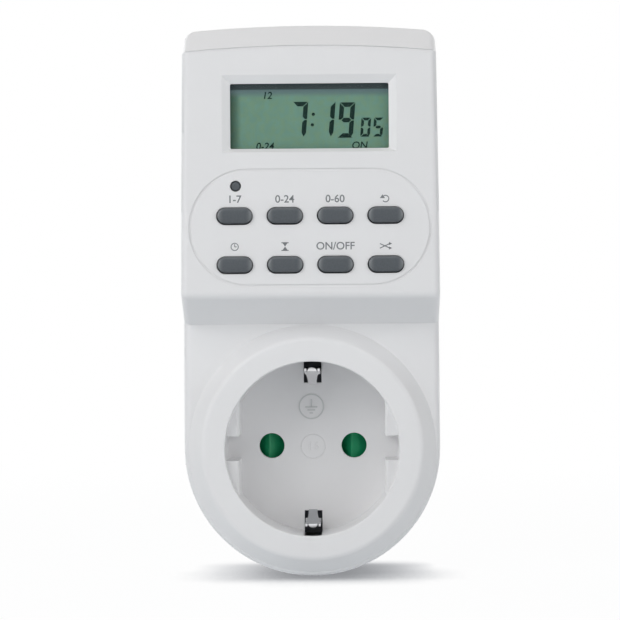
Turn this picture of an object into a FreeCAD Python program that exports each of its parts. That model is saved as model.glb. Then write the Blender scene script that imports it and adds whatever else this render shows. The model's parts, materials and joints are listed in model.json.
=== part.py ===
import FreeCAD, Part
import math
import os

# A plug-in digital week timer with an earthed socket on its front. Lengths are millimetres.
# X runs to the right seen from the front, Y runs into the wall and Z runs up. The origin lies on
# the plug's engagement face, midway between its two pins.

# Housing
BODY_MARGIN = 1.0
SIDE_TAPER = 0.8
TOP_ARC_R = 303.0
CORNER_R = 3.2
WALL = 2.0
REAR_DEPTH = 17.0
FRONT_DEPTH = 17.0
HEAD_RISE = 11.5
STEP_GAP = 0.15
STEP_RUN = 6.0
STEP_FILLET = 2.2
FRONT_FILLET = 1.5
REAR_FILLET = 2.0
TOP_BAND_HEIGHT = 4.96
TOP_BAND_DEPTH = 6.0
BAND_LINE_WIDTH = 0.5
BAND_LINE_DEPTH = 0.25
SEAM_GAP = 0.1
LIP_HEIGHT = 1.6
LIP_THICKNESS = 0.9
FIT_GAP = 0.15
SEAT_GAP = 0.05

# Socket on the front
RING_WIDTH = 8.33
RING_FLANK = 3.1
RING_HEIGHT = 4.0
RING_FILLET = 1.6
RECESS_R = 19.65
RECESS_DEPTH = 17.5
RIM_ROUND = 0.35
CUP_WALL = 1.8
FLOOR_THICKNESS = 2.2
PIN_SPACING = 19.0
PIN_HOLE_R = 2.9
LEDGE_DEPTH = 3.1
LEDGE_DROP = 2.5
LEDGE_CHAMFER = 0.5
NOTCH_WIDTH = 5.55
CLIP_SLOT_WIDTH = 4.1
CLIP_SLOT_DEPTH = 4.9
CLIP_SLOT_LIP = 1.3
CLIP_SLOT_SHIFT = 0.25

# Plug on the back
BOSS_LENGTH = 17.0
PLUG_SLACK = 1.05
BOSS_FLAT_DEPTH = 2.3
BOSS_RIB_RISE = 2.0
BOSS_RIB_WIDTH = 4.6
BOSS_EDGE = 0.8
PLUG_END_WALL = 2.2
PIN_R = 2.4
PIN_LENGTH = 19.0
PIN_TIP = 1.3
PIN_ROOT_RIM = 0.6
PIN_FLANGE_RIM = 1.0
PIN_FLANGE_THICKNESS = 1.2
PIN_TAIL_R = 1.5
PIN_HEAD_RIM = 0.5
PIN_HEAD = 0.5
PIN_GRIP = 0.02

# Display
WINDOW_DROP = 20.66
WINDOW_RISE = 22.25
WINDOW_SIDE = 10.83
WINDOW_HEIGHT = 14.5
WINDOW_CORNER = 0.35
BEVEL_SIDE = 1.8
BEVEL_TOP = 1.9
BEVEL_BOTTOM = 0.8
BEVEL_DEPTH = 1.0
WINDOW_LIP = 0.45
LENS_MARGIN = 0.9
LENS_THICKNESS = 0.8
LENS_AIR = 0.2
GLASS_MARGIN_X = 1.2
GLASS_MARGIN_Z = 2.3
GLASS_THICKNESS = 1.8
GLASS_LEDGE = 1.7
GLASS_SPLIT = 0.1
FRAME_WALL = 1.1
ZEBRA_HEIGHT = 1.6
ZEBRA_WIDTH = 1.9

# Keypad
KEY_SPACE = 3.5
KEY_HEIGHT = 3.5
KEY_GAP = 0.22
KEY_SHIFT_X = 0.05
KEY_SHIFT_Z = 0.1
KEY_PROUD = 0.9
KEY_TRAVEL = 0.8
KEY_EDGE = 0.5
KEY_CROWN_R = 12.0
KEY_SIDE = 11.94
KEY_ROW_PITCH = 10.9
KEY_LIFT = 7.15
FLANGE_MARGIN = 0.8
FLANGE_THICKNESS = 0.8
STEM_LENGTH = 0.3
RESET_R = 1.07
RESET_GAP = 0.15
RESET_SHIFT = 0.27
RESET_RISE = 6.67
RESET_SUNK = 0.35
PANEL_MARGIN = 1.75
PANEL_ABOVE = 10.5
PANEL_BELOW = 4.83
PANEL_LINE_WIDTH = 0.45
PANEL_LINE_DEPTH = 0.2
MAT_THICKNESS = 0.9
MAT_MARGIN = 4.2
MAT_RESET_MARGIN = 3.0
DOME_R = 1.5
DOME_SKIRT = 0.7
DOME_AIR = 0.3

# Boards
BOARD_THICKNESS = 1.6
BOARD_CORNER = 1.0
BOARD_GAP = 0.8
BOSS_CLEARANCE = 0.4
LOGIC_MARGIN = 6.2
POST_INSET = 2.9
POST_R = 2.0
POWER_POST_HEIGHT = 3.0
POWER_POST_R = 2.6
POWER_POST_INSET = 3.2
POWER_BOARD_RISE = 5.4
BOARD_SCREW_R = 0.95
BOARD_SCREW_HEAD_R = 1.8
BOARD_SCREW_HEAD = 1.3
BOARD_SCREW_BITE = 2.3
SCREW_GRIP = 0.03

# Screws of the housing
TOP_SCREW_DROP = 6.2
TOP_SCREW_INSET = 5.6
LOW_SCREW_INSET = 5.6
SCREW_BOSS_R = 3.0
SCREW_R = 1.4
SCREW_HEAD_R = 2.8
SCREW_HEAD = 2.0
SCREW_SINK = 6.0
SCREW_BITE = 11.0
SCREW_POINT = 1.0
SINK_CLEARANCE = 0.3
COLUMN_WALL = 1.2
CROSS_LENGTH = 3.2
CROSS_WIDTH = 0.7
CROSS_DEPTH = 1.0

# Shutter and contacts behind the socket
CARRIER_STEP = 0.85
SHUTTER_THICKNESS = 3.5
SHUTTER_HALF = 4.0
SHUTTER_TRAVEL = 6.2
SHUTTER_SPARE = 0.1
SHUTTER_RAMP = 1.9
RIDGE_SHIFT = 0.6
SHUTTER_GAP = 0.2
GUIDE_WALL = 1.2
SPRING_R = 1.1
SPRING_WIRE_R = 0.2
SPRING_TURNS = 7
SPRING_STEPS = 12
SPRING_SIDES = 6
SPRING_SEAT_X = -2.0
LUG_THICKNESS = 1.2
LUG_OVERLAP = 0.9
STRIP_THICKNESS = 0.6
STRIP_WIDTH = 4.0
STRIP_DROP = 1.0
STRIP_ARM_X = 14.5
STRIP_FOOT = 2.7
TAB_RISE = 2.3
TAB_PROUD = 0.8
CONTACT_THICKNESS = 0.6
CONTACT_WIDTH = 5.6
CONTACT_PINCH = 2.05
CONTACT_SPREAD = 0.7
CONTACT_LEAD = 1.6
CONTACT_SET_BACK = 0.8
POCKET_GAP = 0.4
LIVE_STEP = 2.4
CLIP_THICKNESS = 0.5
CLIP_WIDTH = 3.6
CLIP_NECK_WIDTH = 2.0
CLIP_FLARE_WIDTH = 2.5
CLIP_TONGUE_WIDTH = 2.2
CLIP_EAR_WIDTH = 0.42
CLIP_EAR_LEAN = 0.06
CLIP_EAR_LENGTH = 0.85
CLIP_EAR_SET_BACK = 0.3
CLIP_SLIT_LENGTH = 1.25
CLIP_FLARE_LENGTH = 2.0
CLIP_SLACK = 2.1
CLIP_PINCH = 5.05
CLIP_CURL = 1.8
CLIP_CURL_R = 0.5
CLIP_TIP = 1.35
CLIP_TIP_DROP = 7.0
CLIP_PINCH_DROP = 10.8
CLIP_BEND = 4.4
EARTH_DROP = 3.2
STRAP_WIDTH = 4.6
STRAP_SINK = 2.5
STRAP_END = 2.6
RIVET_R = 1.1
RIVET_HEAD_RIM = 0.7
RIVET_HEAD = 0.5

# Components, each placed by its distance right of and above the middle of its board
RELAY_SIZE = (19.0, 15.3, 15.5)
RELAY_AT = (-13.0, 15.75)
RELAY_CORNER = 0.6
RELAY_EDGE = 0.5
FILM_SIZE = (17.5, 7.0, 12.5)
FILM_AT = (12.5, -14.75)
FILM_CORNER = 0.8
CAN_R = 4.0
CAN_LENGTH = 11.5
CAN_AT = (14.0, 7.25)
DISC_R = 4.6
DISC_THICKNESS = 3.2
DISC_AT = (-10.0, -19.5)
DIODE_R = 1.3
DIODE_LENGTH = 4.6
DIODE_COUNT = 4
DIODE_PITCH = 4.2
DIODE_AT = (-17.0, -0.5)
RESISTOR_R = 2.0
RESISTOR_LENGTH = 11.0
RESISTOR_AT = (12.0, 20.5)
LEAD_R = 0.35
LEAD_RISE = 1.0
LEAD_REACH = 1.5
CELL_R = 7.75
CELL_HEIGHT = 6.2
CELL_EDGE = 0.5
CELL_AT = (12.0, 11.9)
TAB_THICKNESS = 0.3
TAB_WIDTH = 4.0
TAB_REACH = 1.5
CHIP_SIDE = 10.0
CHIP_HEIGHT = 1.4
CHIP_LEADS = 6
CHIP_LEAD_WIDTH = 0.5
CHIP_LEAD_HEIGHT = 0.7
CHIP_LEAD_LENGTH = 1.2
CHIP_AT = (-4.0, -4.1)
CRYSTAL_R = 1.0
CRYSTAL_LENGTH = 6.0
CRYSTAL_AT = (-14.0, 5.9)
SOCKET_SIZE = (12.6, 4.0, 3.6)
LINK_LOGIC_AT = (3.0, -18.1)
LINK_POWER_RISE = -7.75
LINK_WIDTH = 10.2
LINK_THICKNESS = 0.9
LINK_STRAIGHT = 3.4

# Radii of the socket, the housing and the plug
CUP_R = RECESS_R + CUP_WALL
RING_R = RECESS_R + RING_WIDTH
RING_SHOULDER_R = RING_R - RING_FLANK
BODY_R = RING_R + BODY_MARGIN
BOSS_R = RECESS_R - PLUG_SLACK
CARRIER_R = CUP_R - CARRIER_STEP
PIN_X = PIN_SPACING / 2

# Heights, from the step under the head upwards
STEP_FOOT_Z = RING_R + STEP_GAP
STEP_TOP_Z = STEP_FOOT_Z + STEP_RUN
LOW_ROW_Z = STEP_TOP_Z + KEY_LIFT
HIGH_ROW_Z = LOW_ROW_Z + KEY_ROW_PITCH
WINDOW_Z = HIGH_ROW_Z + WINDOW_RISE
TOP_Z = WINDOW_Z + WINDOW_DROP
SIDE_R = (TOP_Z ** 2 + SIDE_TAPER ** 2) / (2 * SIDE_TAPER)

# Levels along Y, from the plug's face forwards
REAR_Y = -BOSS_LENGTH
REAR_IN_Y = REAR_Y - WALL
PART_Y = REAR_Y - REAR_DEPTH
LOWER_Y = PART_Y - FRONT_DEPTH
HEAD_Y = LOWER_Y - HEAD_RISE
HEAD_IN_Y = HEAD_Y + WALL
RIM_Y = LOWER_Y - RING_HEIGHT
FLOOR_Y = RIM_Y + RECESS_DEPTH
FLOOR_BACK_Y = FLOOR_Y + FLOOR_THICKNESS
FAR = 200.0

# How far a cutting body reaches past what it cuts
OVER = 1.0


def half_width(z, inset=0.0):
    """Half the housing's width at height z, inset from its outside."""
    return BODY_R - SIDE_R + math.sqrt((SIDE_R - inset) ** 2 - z ** 2)


# Screws of the housing
COUNTERBORE_R = SCREW_HEAD_R + SINK_CLEARANCE
COLUMN_R = COUNTERBORE_R + COLUMN_WALL
TOP_SCREW_Z = TOP_Z - TOP_SCREW_DROP
TOP_SCREW_X = half_width(TOP_SCREW_Z) - TOP_SCREW_INSET
LOW_SCREW_X = (BODY_R - LOW_SCREW_INSET) * math.cos(math.radians(45))
SCREWS = [
    (side * x, z)
    for side in (-1, 1)
    for x, z in ((TOP_SCREW_X, TOP_SCREW_Z), (LOW_SCREW_X, -LOW_SCREW_X))
]

# Display
WINDOW_WIDTH = 2 * (half_width(WINDOW_Z) - WINDOW_SIDE)
LENS_Y = HEAD_Y + BEVEL_DEPTH + WINDOW_LIP
LENS_BACK_Y = LENS_Y + LENS_THICKNESS
GLASS_Y = LENS_BACK_Y + LENS_AIR
GLASS_BACK_Y = GLASS_Y + GLASS_THICKNESS
GLASS_HALF_X = WINDOW_WIDTH / 2 + GLASS_MARGIN_X
GLASS_HALF_Z = WINDOW_HEIGHT / 2 + GLASS_MARGIN_Z
FRAME_HALF_X = GLASS_HALF_X + FIT_GAP + FRAME_WALL
FRAME_HALF_Z = GLASS_HALF_Z + FIT_GAP + FRAME_WALL

# Keys
KEY_ROWS = (HIGH_ROW_Z, LOW_ROW_Z)
KEY_PITCH_X = 2 * (half_width(HIGH_ROW_Z) - KEY_SIDE) / 3
KEY_WIDTH = KEY_PITCH_X - KEY_SPACE
KEY_COLUMNS = [KEY_PITCH_X * (n - 1.5) for n in range(4)]
KEY_NAMES = (
    ("week_key", "hour_key", "minute_key", "recall_key"),
    ("clock_key", "timer_key", "mode_key", "random_key"),
)
RESET_X = KEY_COLUMNS[0] + RESET_SHIFT
RESET_Z = HIGH_ROW_Z + RESET_RISE
FLANGE_Y = HEAD_IN_Y + SEAT_GAP
STEM_BACK_Y = FLANGE_Y + FLANGE_THICKNESS + STEM_LENGTH
DOME_Y = STEM_BACK_Y + SEAT_GAP
PANEL_HEIGHT = PANEL_ABOVE + KEY_ROW_PITCH + PANEL_BELOW
PANEL_Z = HIGH_ROW_Z + PANEL_ABOVE - PANEL_HEIGHT / 2
PANEL_WIDTH = 2 * (half_width(PANEL_Z) - PANEL_MARGIN)

# Logic board, behind the display and the keys
LOGIC_Y = GLASS_BACK_Y + ZEBRA_HEIGHT
LOGIC_BACK_Y = LOGIC_Y + BOARD_THICKNESS
LOGIC_TOP_Z = TOP_SCREW_Z - SCREW_BOSS_R - BOSS_CLEARANCE
LOGIC_BOTTOM_Z = LOW_ROW_Z - LOGIC_MARGIN
LOGIC_MID_Z = (LOGIC_TOP_Z + LOGIC_BOTTOM_Z) / 2
LOGIC_HALF_X = half_width(LOGIC_TOP_Z, WALL) - BOARD_GAP
LOGIC_POSTS = [
    (side * (LOGIC_HALF_X - POST_INSET), z)
    for side in (-1, 1)
    for z in (LOGIC_BOTTOM_Z + POST_INSET, LOGIC_TOP_Z - POST_INSET)
]

# Power board, on the rear cover
POWER_BACK_Y = REAR_IN_Y - POWER_POST_HEIGHT
POWER_Y = POWER_BACK_Y - BOARD_THICKNESS
POWER_TOP_Z = TOP_SCREW_Z - COLUMN_R - 2 * BOSS_CLEARANCE
POWER_BOTTOM_Z = CARRIER_R + POWER_BOARD_RISE
POWER_MID_Z = (POWER_TOP_Z + POWER_BOTTOM_Z) / 2
POWER_HALF_X = half_width(POWER_TOP_Z, WALL) - BOARD_GAP
POWER_POSTS = [
    (side * (POWER_HALF_X - POWER_POST_INSET), z)
    for side in (-1, 1)
    for z in (POWER_BOTTOM_Z + POWER_POST_INSET, POWER_TOP_Z - POWER_POST_INSET)
]

# Shutter, contacts and strips
SHUTTER_Y = FLOOR_BACK_Y + SHUTTER_GAP
SHUTTER_PLATE_Y = SHUTTER_Y + SHUTTER_RAMP
SHUTTER_BACK_Y = SHUTTER_Y + SHUTTER_THICKNESS
SHUTTER_REACH = PIN_X - PIN_HOLE_R + SHUTTER_TRAVEL - SHUTTER_SPARE
CARRIER_Y = SHUTTER_BACK_Y + SHUTTER_GAP
CARRIER_BACK_Y = REAR_IN_Y - 2 * SEAT_GAP
SPRING_OUTER_R = SPRING_R + SPRING_WIRE_R
SPRING_Y = (SHUTTER_Y + SHUTTER_BACK_Y) / 2
SPRING_Z = SHUTTER_HALF + 2 * SHUTTER_GAP + SPRING_OUTER_R
LUG_TOP_Z = SPRING_Z + SPRING_OUTER_R
LUG_X = SHUTTER_REACH - 2 * LUG_THICKNESS
STRIP_BACK_Y = REAR_IN_Y - STRIP_DROP
STRIP_Y = STRIP_BACK_Y - STRIP_THICKNESS
SWITCHED_BACK_Y = STRIP_Y - LIVE_STEP
SWITCHED_Y = SWITCHED_BACK_Y - STRIP_THICKNESS
EARTH_BACK_Y = REAR_IN_Y - EARTH_DROP
EARTH_SEAM_Y = EARTH_BACK_Y - CLIP_THICKNESS
EARTH_Y = EARTH_SEAM_Y - CLIP_THICKNESS
CLIP_FOOT_Z = RECESS_R - CLIP_SLACK
CLIP_SLOT_INNER = RECESS_R - CLIP_SLOT_DEPTH
STRAP_Z = BOSS_R - STRAP_SINK
PIN_FLANGE_Y = -PLUG_END_WALL - PIN_FLANGE_THICKNESS

V = FreeCAD.Vector
PIECES = {}


def piece(name):
    """Register the function below as the maker of the named piece."""
    def keep(make):
        PIECES[name] = make
        return make
    return keep


def box(x0, x1, y0, y1, z0, z1):
    return Part.makeBox(x1 - x0, y1 - y0, z1 - z0, V(x0, y0, z0))


def rod(r, y0, y1, x=0.0, z=0.0):
    """A cylinder along Y from y0 to y1."""
    return Part.makeCylinder(r, y1 - y0, V(x, y0, z), V(0, 1, 0))


def rod_x(r, x0, x1, y, z):
    """A cylinder along X from x0 to x1."""
    return Part.makeCylinder(r, x1 - x0, V(x0, y, z), V(1, 0, 0))


def polygon_face(corners):
    return Part.Face(Part.makePolygon(corners + corners[:1]))


def prism_x(points, x0, x1):
    """A polygon of (y, z) points pushed from x0 to x1."""
    return polygon_face([V(x0, y, z) for y, z in points]).extrude(V(x1 - x0, 0, 0))


def prism_y(points, y0, y1):
    """A polygon of (x, z) points pushed from y0 to y1."""
    return polygon_face([V(x, y0, z) for x, z in points]).extrude(V(0, y1 - y0, 0))


def prism_z(points, z0, z1):
    """A polygon of (x, y) points pushed from z0 to z1."""
    return polygon_face([V(x, y, z0) for x, y in points]).extrude(V(0, 0, z1 - z0))


def turned(points, x=0.0, z=0.0):
    """A polygon of (radius, y) points turned about an axis along Y."""
    return polygon_face([V(x + r, y, z) for r, y in points]).revolve(V(x, 0, z), V(0, 1, 0), 360)


def band(points, thickness):
    """The closed outline of a bent strip: an open line of points given a thickness to both sides."""
    left, right = [], []
    for n, (a, b) in enumerate(points):
        before = points[max(n - 1, 0)]
        after = points[min(n + 1, len(points) - 1)]
        turns = []
        for p, q in ((before, (a, b)), ((a, b), after)):
            length = math.hypot(q[0] - p[0], q[1] - p[1])
            if length > 0:
                turns.append(((q[0] - p[0]) / length, (q[1] - p[1]) / length))
        ta = sum(t[0] for t in turns)
        tb = sum(t[1] for t in turns)
        size = math.hypot(ta, tb)
        na, nb = -tb / size, ta / size
        reach = thickness / 2 / abs(nb * turns[0][0] - na * turns[0][1])
        left.append((a + na * reach, b + nb * reach))
        right.append((a - na * reach, b - nb * reach))
    return left + right[::-1]


def stadium(width, height, y0, y1, x=0.0, z=0.0):
    """A block with half-round ends, its long side along X."""
    r = height / 2
    half = width / 2 - r
    a, b = V(x - half, y0, z + r), V(x + half, y0, z + r)
    c, d = V(x + half, y0, z - r), V(x - half, y0, z - r)
    edges = [
        Part.makeLine(a, b),
        Part.Arc(b, V(x + width / 2, y0, z), c).toShape(),
        Part.makeLine(c, d),
        Part.Arc(d, V(x - width / 2, y0, z), a).toShape(),
    ]
    return Part.Face(Part.Wire(edges)).extrude(V(0, y1 - y0, 0))


def rounded_block(x0, x1, y0, y1, z0, z1, r):
    """A block whose four edges along Y are rounded."""
    block = box(x0, x1, y0, y1, z0, z1)
    edges = [e for e in block.Edges if abs(e.tangentAt(e.FirstParameter).y) > 0.9]
    return block.makeFillet(r, edges)


def joined(pieces):
    whole = pieces[0]
    for item in pieces[1:]:
        whole = whole.fuse(item)
    return whole.removeSplitter()


def cut_all(solid, tools):
    for tool in tools:
        solid = solid.cut(tool)
    return solid


def edges_where(shape, test):
    """Edges whose middle point and whose ends all pass the test."""
    found = []
    for edge in shape.Edges:
        middle = edge.valueAt((edge.FirstParameter + edge.LastParameter) / 2)
        if all(test(p) for p in [middle] + [v.Point for v in edge.Vertexes]):
            found.append(edge)
    return found


def edges_at_y(shape, y):
    return edges_where(shape, lambda p: abs(p.y - y) < 0.01)


def mirrored(shape):
    """The same shape on the other side of the plane between the pins."""
    return shape.mirror(V(0, 0, 0), V(1, 0, 0))


def outline(inset, y):
    """The housing's outline: a half-round lower end, slightly drawn-in sides and an arched top."""
    low_r = BODY_R - inset
    side_r = SIDE_R - inset
    top_r = TOP_ARC_R - inset
    side_x = BODY_R - SIDE_R
    top_z = TOP_Z - TOP_ARC_R
    corner_r = max(CORNER_R - inset, CORNER_R / 8)
    a, b = side_r - corner_r, top_r - corner_r
    gap = math.hypot(side_x, top_z)
    along = (a * a - b * b + gap * gap) / (2 * gap)
    across = math.sqrt(a * a - along * along)
    ux, uz = -side_x / gap, top_z / gap
    cx, cz = side_x + along * ux - across * uz, along * uz + across * ux
    to_side = V(cx - side_x, 0, cz).normalize()
    to_top = V(cx, 0, cz - top_z).normalize()
    side_end = V(side_x, y, 0) + to_side * side_r
    top_end = V(0, y, top_z) + to_top * top_r
    corner_mid = V(cx, y, cz) + (to_side + to_top).normalize() * corner_r
    side_angle = math.atan2(side_end.z, side_end.x - side_x) / 2
    side_mid = V(side_x + side_r * math.cos(side_angle), y, side_r * math.sin(side_angle))
    right, left = V(low_r, y, 0), V(-low_r, y, 0)

    def flipped(p):
        return V(-p.x, p.y, p.z)

    edges = [
        Part.Arc(left, V(0, y, -low_r), right).toShape(),
        Part.Arc(right, side_mid, side_end).toShape(),
        Part.Arc(side_end, corner_mid, top_end).toShape(),
        Part.Arc(top_end, V(0, y, top_z + top_r), flipped(top_end)).toShape(),
        Part.Arc(flipped(top_end), flipped(corner_mid), flipped(side_end)).toShape(),
        Part.Arc(flipped(side_end), flipped(side_mid), left).toShape(),
    ]
    return Part.Wire(edges)


def slab(inset, y0, y1):
    """The housing's outline, inset, pushed from y0 to y1."""
    return Part.Face(outline(inset, y0)).extrude(V(0, y1 - y0, 0))


def above_step(inset, y0, y1):
    """Everything above the sloped step under the head, the step moved inwards by inset."""
    slope = STEP_RUN / HEAD_RISE
    lift = inset * math.hypot(1, slope)
    sunk_y = LOWER_Y + WALL + FRONT_FILLET

    def step_z(y):
        return STEP_FOOT_Z + lift + (LOWER_Y - y) * slope

    points = [(y0, step_z(y0)), (sunk_y, step_z(sunk_y)), (y1, step_z(sunk_y)), (y1, FAR), (y0, FAR)]
    return prism_x(points, -FAR / 2, FAR / 2)


def off_top_band(inset):
    """What the sloped band along the top edge cuts off, the band moved inwards by inset."""
    length = math.hypot(TOP_BAND_HEIGHT, TOP_BAND_DEPTH)
    r = TOP_ARC_R - inset * TOP_BAND_DEPTH / length
    y = HEAD_Y + TOP_BAND_DEPTH + inset * TOP_BAND_HEIGHT / length
    slope = TOP_BAND_HEIGHT / TOP_BAND_DEPTH
    ahead, beyond = 3 * TOP_BAND_DEPTH, TOP_BAND_DEPTH
    r_in, r_out = r - slope * ahead, r + slope * beyond
    points = [(r_in, y - ahead), (r_out, y + beyond), (r_out, y - ahead)]
    return turned(points, 0, TOP_Z - TOP_ARC_R)


def lower_block():
    block = slab(0, LOWER_Y, PART_Y - SEAM_GAP / 2)
    return block.makeFillet(FRONT_FILLET, edges_at_y(block, LOWER_Y))


def head_block():
    """The head with its sloped step below, its sloped band above and its rounded edges."""
    block = slab(0, HEAD_Y, PART_Y - SEAM_GAP / 2).common(above_step(0, HEAD_Y - WALL, PART_Y))
    block = block.cut(off_top_band(0))
    step = edges_where(block, lambda p: abs(p.y - HEAD_Y) < 0.01 and abs(p.z - STEP_TOP_Z) < 0.01)
    block = block.makeFillet(STEP_FILLET, step)
    band_back = HEAD_Y + TOP_BAND_DEPTH

    def on_side(p):
        return p.y < band_back + 0.01 and p.z < TOP_Z and abs(abs(p.x) - half_width(p.z)) < 0.05

    sides = [e for e in edges_where(block, on_side) if e.Length > STEP_FILLET]
    return block.makeFillet(FRONT_FILLET, sides)


def ring():
    """The raised collar round the socket: a sloped flank with a soft shoulder."""
    back_y = LOWER_Y + OVER
    points = [(0, back_y), (RING_R, back_y), (RING_R, LOWER_Y), (RING_SHOULDER_R, RIM_Y), (0, RIM_Y)]
    solid = turned(points)
    return solid.makeFillet(RING_FILLET, edges_at_y(solid, RIM_Y))


def ring_core():
    """The hollow under the collar, one wall inside its flank."""
    slope = RING_FLANK / RING_HEIGHT
    skin = WALL * math.hypot(1, slope)
    front_y, back_y = RIM_Y + WALL, LOWER_Y + WALL + SEAT_GAP
    points = [
        (CUP_R - SEAT_GAP, back_y),
        (CUP_R - SEAT_GAP, front_y),
        (RING_SHOULDER_R + slope * (front_y - RIM_Y) - skin, front_y),
        (RING_SHOULDER_R + slope * (back_y - RIM_Y) - skin, back_y),
    ]
    return turned(points)


def front_hollow():
    """The inside of the front cover, without the cup, the screw bosses and the board's posts."""
    low = slab(WALL, LOWER_Y + WALL, PART_Y)
    head = slab(WALL, HEAD_IN_Y, PART_Y).common(above_step(WALL, HEAD_Y, PART_Y)).cut(off_top_band(WALL))
    hollow = joined([low, head, ring_core()])
    kept = [rod(CUP_R, RIM_Y, FLOOR_BACK_Y)]
    kept += [rod(SCREW_BOSS_R, HEAD_Y, PART_Y, x, z) for x, z in SCREWS]
    kept += [rod(POST_R, HEAD_Y, LOGIC_Y, x, z) for x, z in LOGIC_POSTS]
    return cut_all(hollow, kept)


def ledge():
    """The flat on the right of the recess that keys a plug, notched for the plug's rib."""
    x, y = RECESS_R - LEDGE_DEPTH, RIM_Y + LEDGE_DROP
    c = LEDGE_CHAMFER
    points = [(x + c, y), (RECESS_R + OVER, y), (RECESS_R + OVER, FLOOR_Y), (x, FLOOR_Y), (x, y + c)]
    flat = prism_z(points, -RECESS_R, RECESS_R)
    half = NOTCH_WIDTH / 2
    return flat.cut(box(x - OVER, RECESS_R + 2 * OVER, y - OVER, FLOOR_Y + OVER, -half, half))


def recess():
    bowl = rod(RECESS_R, RIM_Y - OVER, FLOOR_Y)
    return cut_all(bowl, [ledge(), mirrored(ledge())])


def clip_slot(side):
    half = CLIP_SLOT_WIDTH / 2
    z0, z1 = sorted((side * CLIP_SLOT_INNER - CLIP_SLOT_SHIFT, side * (CUP_R + SEAT_GAP)))
    return box(-half, half, RIM_Y + CLIP_SLOT_LIP, FLOOR_BACK_Y + OVER, z0, z1)


def window():
    """The display's opening with its sloped frame, wider above than below."""
    half_x, half_z = WINDOW_WIDTH / 2, WINDOW_HEIGHT / 2

    def frame(grow, y):
        x = half_x + grow * BEVEL_SIDE
        top = WINDOW_Z + half_z + grow * BEVEL_TOP
        low = WINDOW_Z - half_z - grow * BEVEL_BOTTOM
        return Part.makePolygon([V(-x, y, low), V(x, y, low), V(x, y, top), V(-x, y, top), V(-x, y, low)])

    bevel = Part.makeLoft([frame(2, HEAD_Y - BEVEL_DEPTH), frame(0, HEAD_Y + BEVEL_DEPTH)], True, True)
    low, top = WINDOW_Z - half_z, WINDOW_Z + half_z
    opening = rounded_block(-half_x, half_x, HEAD_Y, HEAD_IN_Y + OVER, low, top, WINDOW_CORNER)
    reach_x, reach_z = half_x + LENS_MARGIN + FIT_GAP, half_z + LENS_MARGIN + FIT_GAP
    low, top = WINDOW_Z - reach_z, WINDOW_Z + reach_z
    seat = box(-reach_x, reach_x, LENS_Y - SEAT_GAP, HEAD_IN_Y + OVER, low, top)
    return [bevel, opening, seat]


def panel_line():
    """The thin stadium-shaped groove round the keys."""
    y0, y1 = HEAD_Y - OVER, HEAD_Y + PANEL_LINE_DEPTH
    inner = 2 * PANEL_LINE_WIDTH
    line = stadium(PANEL_WIDTH, PANEL_HEIGHT, y0, y1, 0, PANEL_Z)
    return line.cut(stadium(PANEL_WIDTH - inner, PANEL_HEIGHT - inner, y0 - OVER, y1 + OVER, 0, PANEL_Z))


def band_line():
    """The thin groove where the head's face meets the sloped band."""
    r = TOP_ARC_R - TOP_BAND_HEIGHT
    points = [
        (r - BAND_LINE_WIDTH, HEAD_Y - OVER),
        (r, HEAD_Y - OVER),
        (r, HEAD_Y + BAND_LINE_DEPTH),
        (r - BAND_LINE_WIDTH, HEAD_Y + BAND_LINE_DEPTH),
    ]
    return turned(points, 0, TOP_Z - TOP_ARC_R)


def key_places():
    return [(x, z) for z in KEY_ROWS for x in KEY_COLUMNS]


def key_holes():
    width, height = KEY_WIDTH + 2 * KEY_GAP, KEY_HEIGHT + 2 * KEY_GAP
    holes = [stadium(width, height, HEAD_Y - OVER, HEAD_IN_Y + OVER, x, z) for x, z in key_places()]
    return holes + [rod(RESET_R + RESET_GAP, HEAD_Y - OVER, HEAD_IN_Y + OVER, RESET_X, RESET_Z)]


@piece("front_cover")
def front_cover():
    outer = joined([lower_block(), head_block(), ring()])
    shell = outer.cut(front_hollow())
    edge = WALL - LIP_THICKNESS - FIT_GAP
    deep = PART_Y - LIP_HEIGHT - FIT_GAP
    rebate = slab(edge, deep, PART_Y).cut(slab(WALL + FIT_GAP, deep - OVER, PART_Y + OVER))
    shell = cut_all(shell, [rebate, recess()])

    def on_rim(p):
        return abs(p.y - RIM_Y) < 0.01 and abs(math.hypot(p.x, p.z) - RECESS_R) < 0.01

    shell = shell.makeFillet(RIM_ROUND, edges_where(shell, on_rim))
    tools = [rod(PIN_HOLE_R, FLOOR_Y - OVER, FLOOR_BACK_Y + OVER, x) for x in (-PIN_X, PIN_X)]
    tools += [clip_slot(-1), clip_slot(1)]
    tools += window() + [panel_line(), band_line()] + key_holes()
    depth = SCREW_BITE + SCREW_POINT
    tools += [rod(SCREW_R + SCREW_GRIP, PART_Y - depth, PART_Y, x, z) for x, z in SCREWS]
    bite = BOARD_SCREW_BITE + FIT_GAP
    tools += [rod(BOARD_SCREW_R + SCREW_GRIP, LOGIC_Y - bite, LOGIC_Y, x, z) for x, z in LOGIC_POSTS]
    return cut_all(shell, tools)


def plug_boss():
    """The round plug body with its two flats, each with a rib."""
    y0 = REAR_Y - WALL / 2
    flat_x = BOSS_R - BOSS_FLAT_DEPTH
    rib_x = flat_x + BOSS_RIB_RISE
    body = rod(BOSS_R, y0, 0).common(box(-flat_x, flat_x, y0, 0, -BOSS_R, BOSS_R))
    ribs = box(-rib_x, rib_x, y0, 0, -BOSS_RIB_WIDTH / 2, BOSS_RIB_WIDTH / 2).common(rod(BOSS_R, y0, 0))
    body = body.fuse(ribs).removeSplitter()
    return body.makeChamfer(BOSS_EDGE, edges_at_y(body, 0))


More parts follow.
